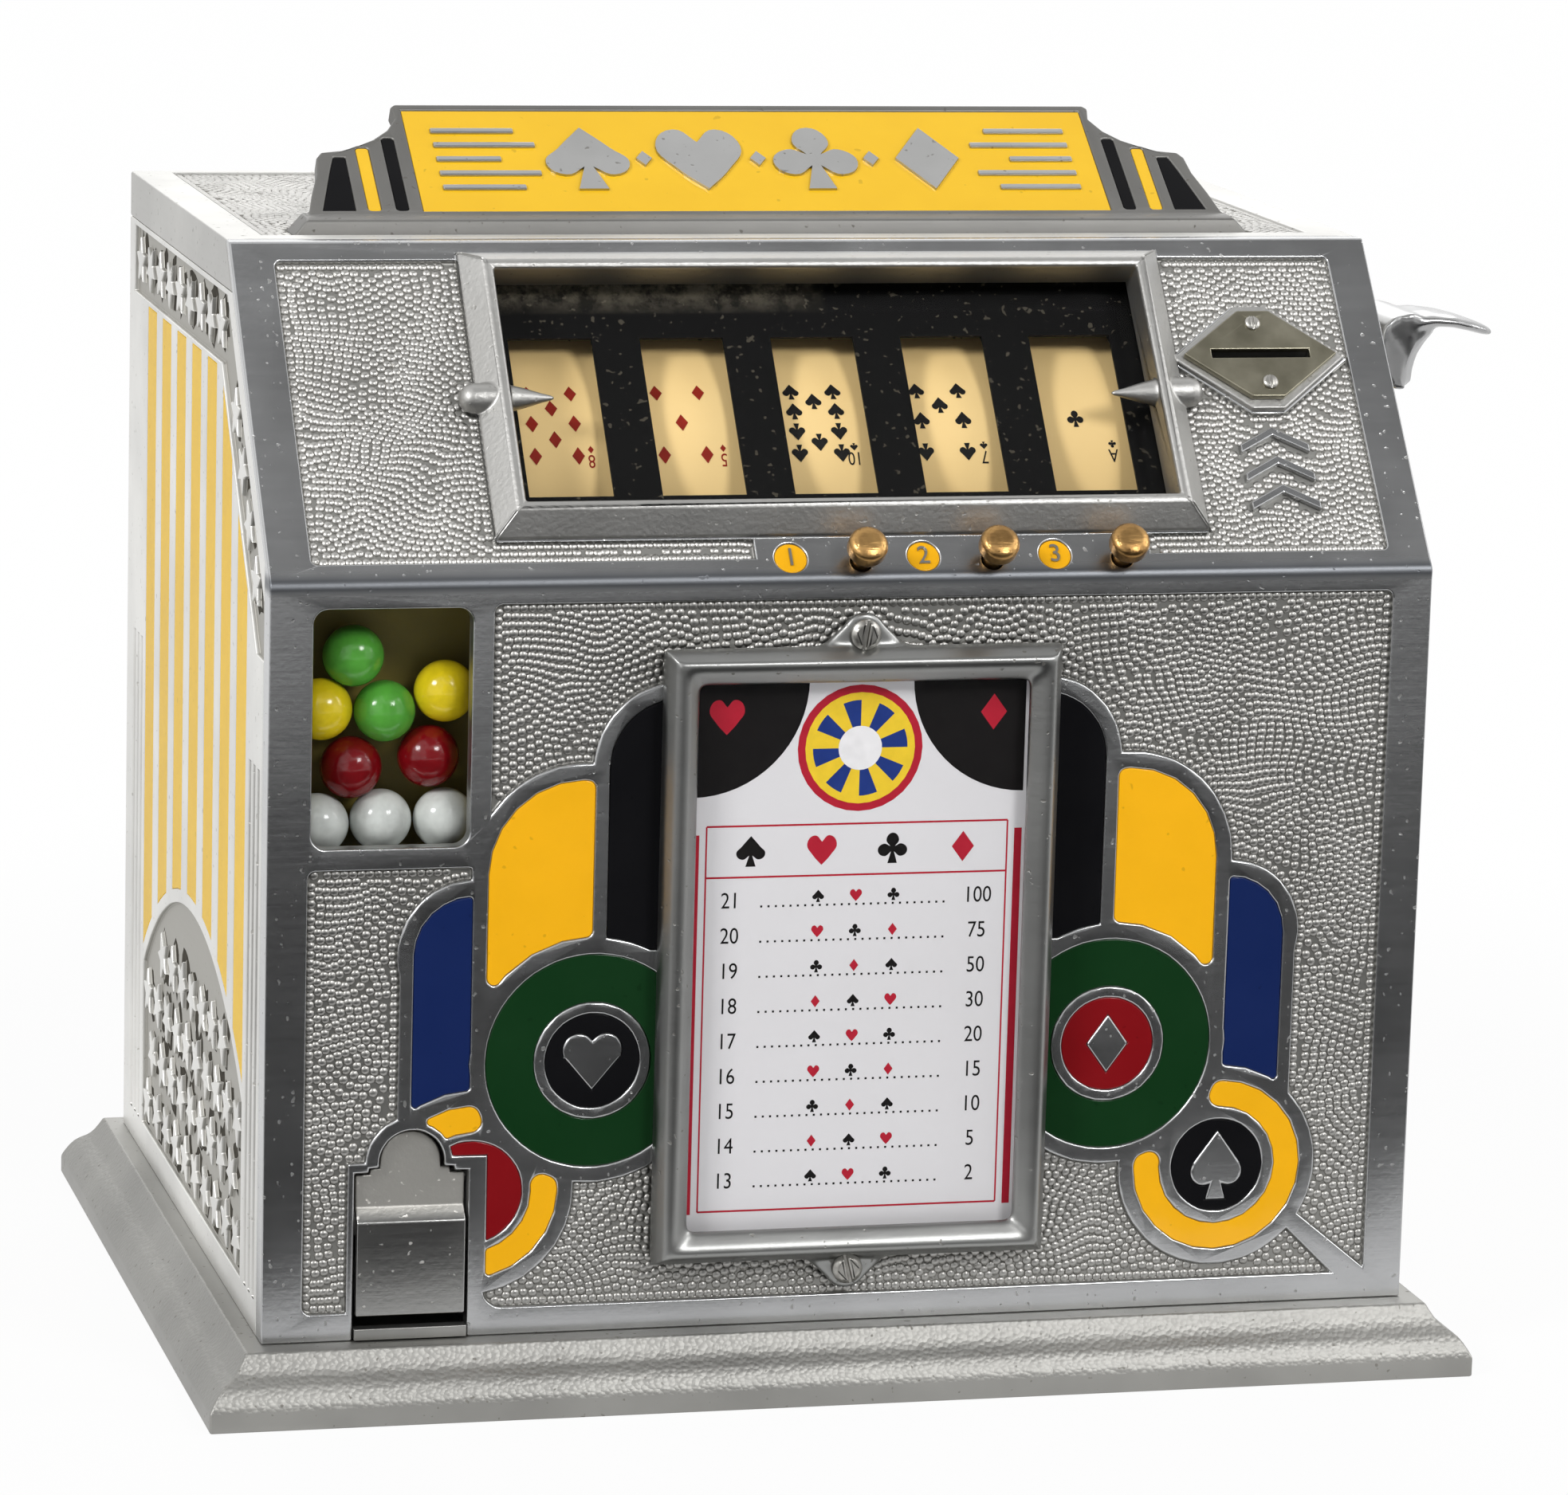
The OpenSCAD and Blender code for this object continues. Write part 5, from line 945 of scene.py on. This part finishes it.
# Below the hopper: the slide that carries one ball over the chute, the chute,
# and the hinged vend door, a pressed plate with a scooped thumb tab on top.
tinned = worked_metal("tinned sheet", (0.3, 0.3, 0.29), (0.42, 0.415, 0.4), rough=0.36)
for node in ("gum_slide", "gum_chute"):
    soften(node, tinned, 0.2)
door_metal = cast_metal("door plate", (0.36, 0.36, 0.35), rough=0.24, low_and_pit_colour=(0.85, 0.83, 0.78))
flap_face = [(Vector((0, -93.1 * mm, 0)), Vector((0, -1, 0)))]
soften("vend_door", door_metal, 0.35, planes=flap_face)
shaft_steel = worked_metal("ground steel", (0.3, 0.3, 0.3), (0.46, 0.46, 0.46), rough=0.26)
soften("vend_door_pin", shaft_steel, 0.2)


# The award frame: a mitred casting with a bevelled face, screwed to the front
# by an ear at each end, over a pane of glass and a printed card.
award_metal = cast_metal("award frame aluminium", (0.3, 0.302, 0.295), rough=0.36)


def one_skin(piece, voxel, rounds):
    """Runs a piece's edges into one smooth skin, as casting or forging leaves it."""
    skin = piece.modifiers.new("skin", "REMESH")
    skin.mode, skin.voxel_size, skin.use_smooth_shade = "VOXEL", voxel * mm, True
    worn = piece.modifiers.new("worn", "SMOOTH")
    worn.factor, worn.iterations = 0.5, rounds


rounded = soften("award_frame", award_metal, 0.5)
one_skin(rounded, 0.4, 40)
rounded.modifiers.remove(rounded.modifiers["normals"])
soften("award_screws", screw_steel, 0.2, sharp=40)
dress("award_glass", glass)

award_z = 93.3
card_half_w, card_half_h, card_low, card_high = 36.6, 59.1, 0.2, 0.52
card_stock = Finish("card stock", Roughness=0.5)
tooth = card_stock.noise(900, detail=3)
aged = card_stock.noise(18, detail=4)
card_stock.set(Base_Color=card_stock.mix(aged, (0.74, 0.73, 0.75), (0.68, 0.67, 0.68)),
               Normal=card_stock.bump(tooth, 0.01 * mm))
on_card = Matrix.Translation((0, flat_front, award_z * mm)) @ rotated(90, "X")
stock = bmesh.new()
bar(stock, on_card, 0, 0, (card_low + card_high) / 2, 2 * card_half_w, 2 * card_half_h,
    card_high - card_low, 0.1)
build("score_card", stock, card_stock, "cabinet", ["award_card"], weigh=True)


def card_ink(name, colour):
    """Printing ink, a little uneven as it took to the card."""
    finish = Finish(name, Roughness=0.42, Specular_IOR_Level=0.15)
    worn = finish.noise(400, detail=3)
    pale = tuple(min(1, 1.15 * c + 0.003) for c in colour)
    finish.set(Base_Color=finish.mix(worn, toned(colour, 0.9), pale))
    return finish


card_inks = {"black": card_ink("card black", (0.007, 0.006, 0.006)),
             "red": card_ink("card red", (0.42, 0.012, 0.03)),
             "yellow": card_ink("card yellow", (0.8, 0.55, 0.03)),
             "blue": card_ink("card blue", (0.012, 0.035, 0.2)),
             "white": card_ink("card white", (0.78, 0.77, 0.78))}
sheets = {name: bmesh.new() for name in card_inks}
ink_lift = {"black": 0.535, "red": 0.545, "yellow": 0.555, "blue": 0.565, "white": 0.575}


def flat_shape(outline):
    """A flat shape in millimetres from the corners of its outline."""
    bm = bmesh.new()
    bm.faces.new([bm.verts.new((x, y, 0)) for x, y in outline])
    bmesh.ops.triangulate(bm, faces=bm.faces)
    return mesh_of("shape", bm)


def ink(colour, mesh, x=0.0, y=0.0, size=1.0, wide=1.0):
    """Prints a shape on the card, each ink a hair above the one before."""
    stamp(sheets[colour], mesh, on_card @ scaled(x, y, ink_lift[colour], size, wide=wide))


def rule(colour, x, y, width, height):
    """Prints a ruled line or a dot."""
    ink(colour, flat_shape([(-width / 2, -height / 2), (width / 2, -height / 2),
                            (width / 2, height / 2), (-width / 2, height / 2)]), x, y)


def arc_points(x, y, radius, start, stop, steps=16):
    """Corners along an arc, from one angle to another in degrees."""
    turns = [math.radians(start + (stop - start) * k / steps) for k in range(steps + 1)]
    return [(x + radius * math.cos(t), y + radius * math.sin(t)) for t in turns]


# Dark corners with a suit each, a round medallion, and ruled rows of figures
corner_x, corner_y, medal_y, row_high, row_pitch, figure_x = 35.0, 57.3, 43, 11.5, 7.4, 26
for way, kind in ((-1, "heart"), (1, "diamond")):
    corner = [(corner_x, corner_y)] + arc_points(corner_x, corner_y, 24, 180, 270)
    ink("black", flat_shape([(way * x, y) for x, y in corner]))
    ink("red", suit(kind), way * 28.2, 50, 7.5)
ring = flat_shape(arc_points(0, 0, 1, 0, 348.75, 31))
for colour, size in (("red", 13.2), ("yellow", 11.6)):
    ink(colour, ring, 0, medal_y, size)
for k in range(8):
    wedge = [(0, 0)] + arc_points(0, 0, 10, 45 * k, 45 * k + 22.5, 4)
    ink("blue", flat_shape(wedge), 0, medal_y)
ink("white", ring, 0, medal_y, 4.6)
for way in (-1, 1):
    rule("red", way * 34.2, -14.5, 1.6, 80)
    rule("red", way * 31.9, -13.4, 0.35, 81.2)
for y in (27.2, 16.5, -54):
    rule("red", 0, y, 63.8, 0.4)
for k, kind in enumerate(suits):
    ink(ink_of[kind], suit(kind), (k - 1.5) * 15, 21.9, 6.4)
for row, prize in enumerate((100, 75, 50, 30, 20, 15, 10, 5, 2)):
    y = row_high - row * row_pitch
    ink("black", figure(str(21 - row)), -26.6, y, 3.4, wide=0.85)
    for k in range(26):
        rule("black", -20 + k * 1.55, y - 1.2, 0.45, 0.45)
    ink("black", figure(str(prize)), figure_x, y, 3.4, wide=0.85)
    for k in range(3):
        kind = suits[(row + k) % 4]
        ink(ink_of[kind], suit(kind), -8 + k * 8, y + 0.7, 2.6)
for name, bm in sheets.items():
    build(f"card_print_{name}", bm, card_inks[name], "cabinet")


# The lever: one forging, ground smooth and nickel plated, keyed on a steel
# shaft that runs through the cabinet and carries the reels' kick fingers.
lever_plate = worked_metal("lever plate", (0.36, 0.362, 0.365), (0.46, 0.46, 0.455), rough=0.24,
                           cloud_scale=45)
lever_in, arm_y, arm_z, hub_y, hub_z = 124.1, -50, 212, 35, 186


def wrapped(bm, *rings):
    """Closes a skin round some rings that stand across the lever."""
    verts = []
    for x, y, z, radius in rings:
        ring = bmesh.ops.create_circle(bm, segments=40, radius=radius * mm)["verts"]
        bmesh.ops.rotate(bm, matrix=Matrix.Rotation(math.radians(90), 3, "Y"), verts=ring)
        bmesh.ops.translate(bm, vec=((lever_in + x) * mm, y * mm, z * mm), verts=ring)
        verts += ring
    inside = bmesh.ops.convex_hull(bm, input=verts)["geom_interior"]
    inside = [g for g in inside if isinstance(g, bmesh.types.BMVert)]
    bmesh.ops.delete(bm, geom=inside, context="VERTS")


def lofted(bm, rings):
    """Joins closed rings of points one after the other, and caps both ends."""
    edges = []
    for ring in rings:
        verts = [bm.verts.new(Vector(at) * mm) for at in ring]
        loop = [bm.edges.new((verts[i - 1], verts[i])) for i in range(len(verts))]
        if edges:
            bmesh.ops.bridge_loops(bm, edges=edges + loop)
        else:
            bm.faces.new(verts)
        edges = loop
    bm.faces.new(verts)


lever = bmesh.new()
wrapped(lever, (0, hub_y, hub_z, 9.4), (9.6, hub_y, hub_z, 9.4))
wrapped(lever, (0.5, hub_y, hub_z, 8), (9.2, hub_y, hub_z, 8),
        (0.5, arm_y + 22, arm_z - 3.5, 6), (8.6, arm_y + 22, arm_z - 3.5, 6))
# The grip's end, seen from the front: a domed top and a hollow outer flank
grip = [(0.3, 1), (1.2, 4.2), (3.6, 6.4), (7, 7.2), (10, 6.4), (12.8, 4.4), (13.2, 2.6), (11.3, 0.4),
        (9.7, -2.2), (8.9, -5), (8.6, -8), (6.6, -9.4), (3.6, -9.2), (1.3, -6.4), (0.4, -2.4)]
hollow = {6: 1.5, 7: 2.6, 8: 3, 9: 3.1, 10: 3}
lofted(lever, [[(lever_in + x - back * hollow.get(i, 0), arm_y + out + back * 0.3 * abs(x - 6), arm_z + z)
                for i, (x, z) in enumerate(grip)]
               for out, back in ((0.2, 1.0), (4.6, 0.0), (16, 0.0), (25, 0.6))])
# The thumb pad: a crowned plate that droops towards its outer end
pad = []
for x, near, far, mid, thick in ((6.5, 0.8, 21, 4.6, 4.4), (12, 0.4, 21, 5.4, 3.3), (17, 0.4, 20.6, 5.0, 2.9),
                                 (21, 0.8, 20, 4.1, 2.7), (24.4, 2.2, 18.6, 3.1, 2.4),
                                 (26.8, 5.2, 15.4, 2.3, 1.7)):
    turns = [math.radians(11.25 + 22.5 * k) for k in range(16)]
    pad.append([(lever_in + x,
                 arm_y + (near + far) / 2 + (far - near) / 2 * math.cos(a) * abs(math.cos(a)) ** -0.4,
                 arm_z + mid + thick / 2 * math.sin(a) * abs(math.sin(a)) ** -0.2) for a in turns])
lofted(lever, pad)
bmesh.ops.recalc_face_normals(lever, faces=lever.faces)
handle = build("lever_forging", lever, lever_plate, "lever", ["lever"])
one_skin(handle, 0.5, 12)
for node in ("lever_shaft", "reel_shaft"):
    soften(node, shaft_steel)

# Inside: two frame plates carry the shafts, a comb of bronze springs indexes
# the reels, and a sheet chute drops the coins into a box on the floor.
frame_steel = worked_metal("frame steel", (0.2, 0.2, 0.2), (0.34, 0.33, 0.31), rough=0.4, cloud_scale=22)
for node in ("mech_frame_left", "mech_frame_right", "kick_fingers"):
    soften(node, frame_steel)
bronze = worked_metal("spring bronze", (0.3, 0.19, 0.08), (0.48, 0.33, 0.16), rough=0.32)
soften("index_springs", bronze, 0.12, sharp=40)
dress("lever_spring", wire)
soften("coin_chute", tinned, 0.2)
soften("cash_box", plate_steel)


# The back and the underside: a steel door hung on a pin in cast knuckles, a
# brass cam lock, the screws that hold the castings together, and the plate
# that closes the plinth.
soften("rear_door", plate_steel)
soften("rear_hinge_pin", shaft_steel, 0.2, sharp=40)
lock_brass = worked_metal("lock brass", (0.42, 0.28, 0.09), (0.6, 0.44, 0.2), rough=0.28, cloud_scale=120)
lock = soften("door_lock", lock_brass, 0.25)
seat_gap = 0.02 * mm
for vert in lock.data.vertices:
    if abs(vert.co.y - flat_back) < 0.01 * mm:
        vert.co.y += seat_gap
soften("case_screws", screw_steel, 0.2, sharp=40)
soften("bottom_plate", plate_steel, 0.25)
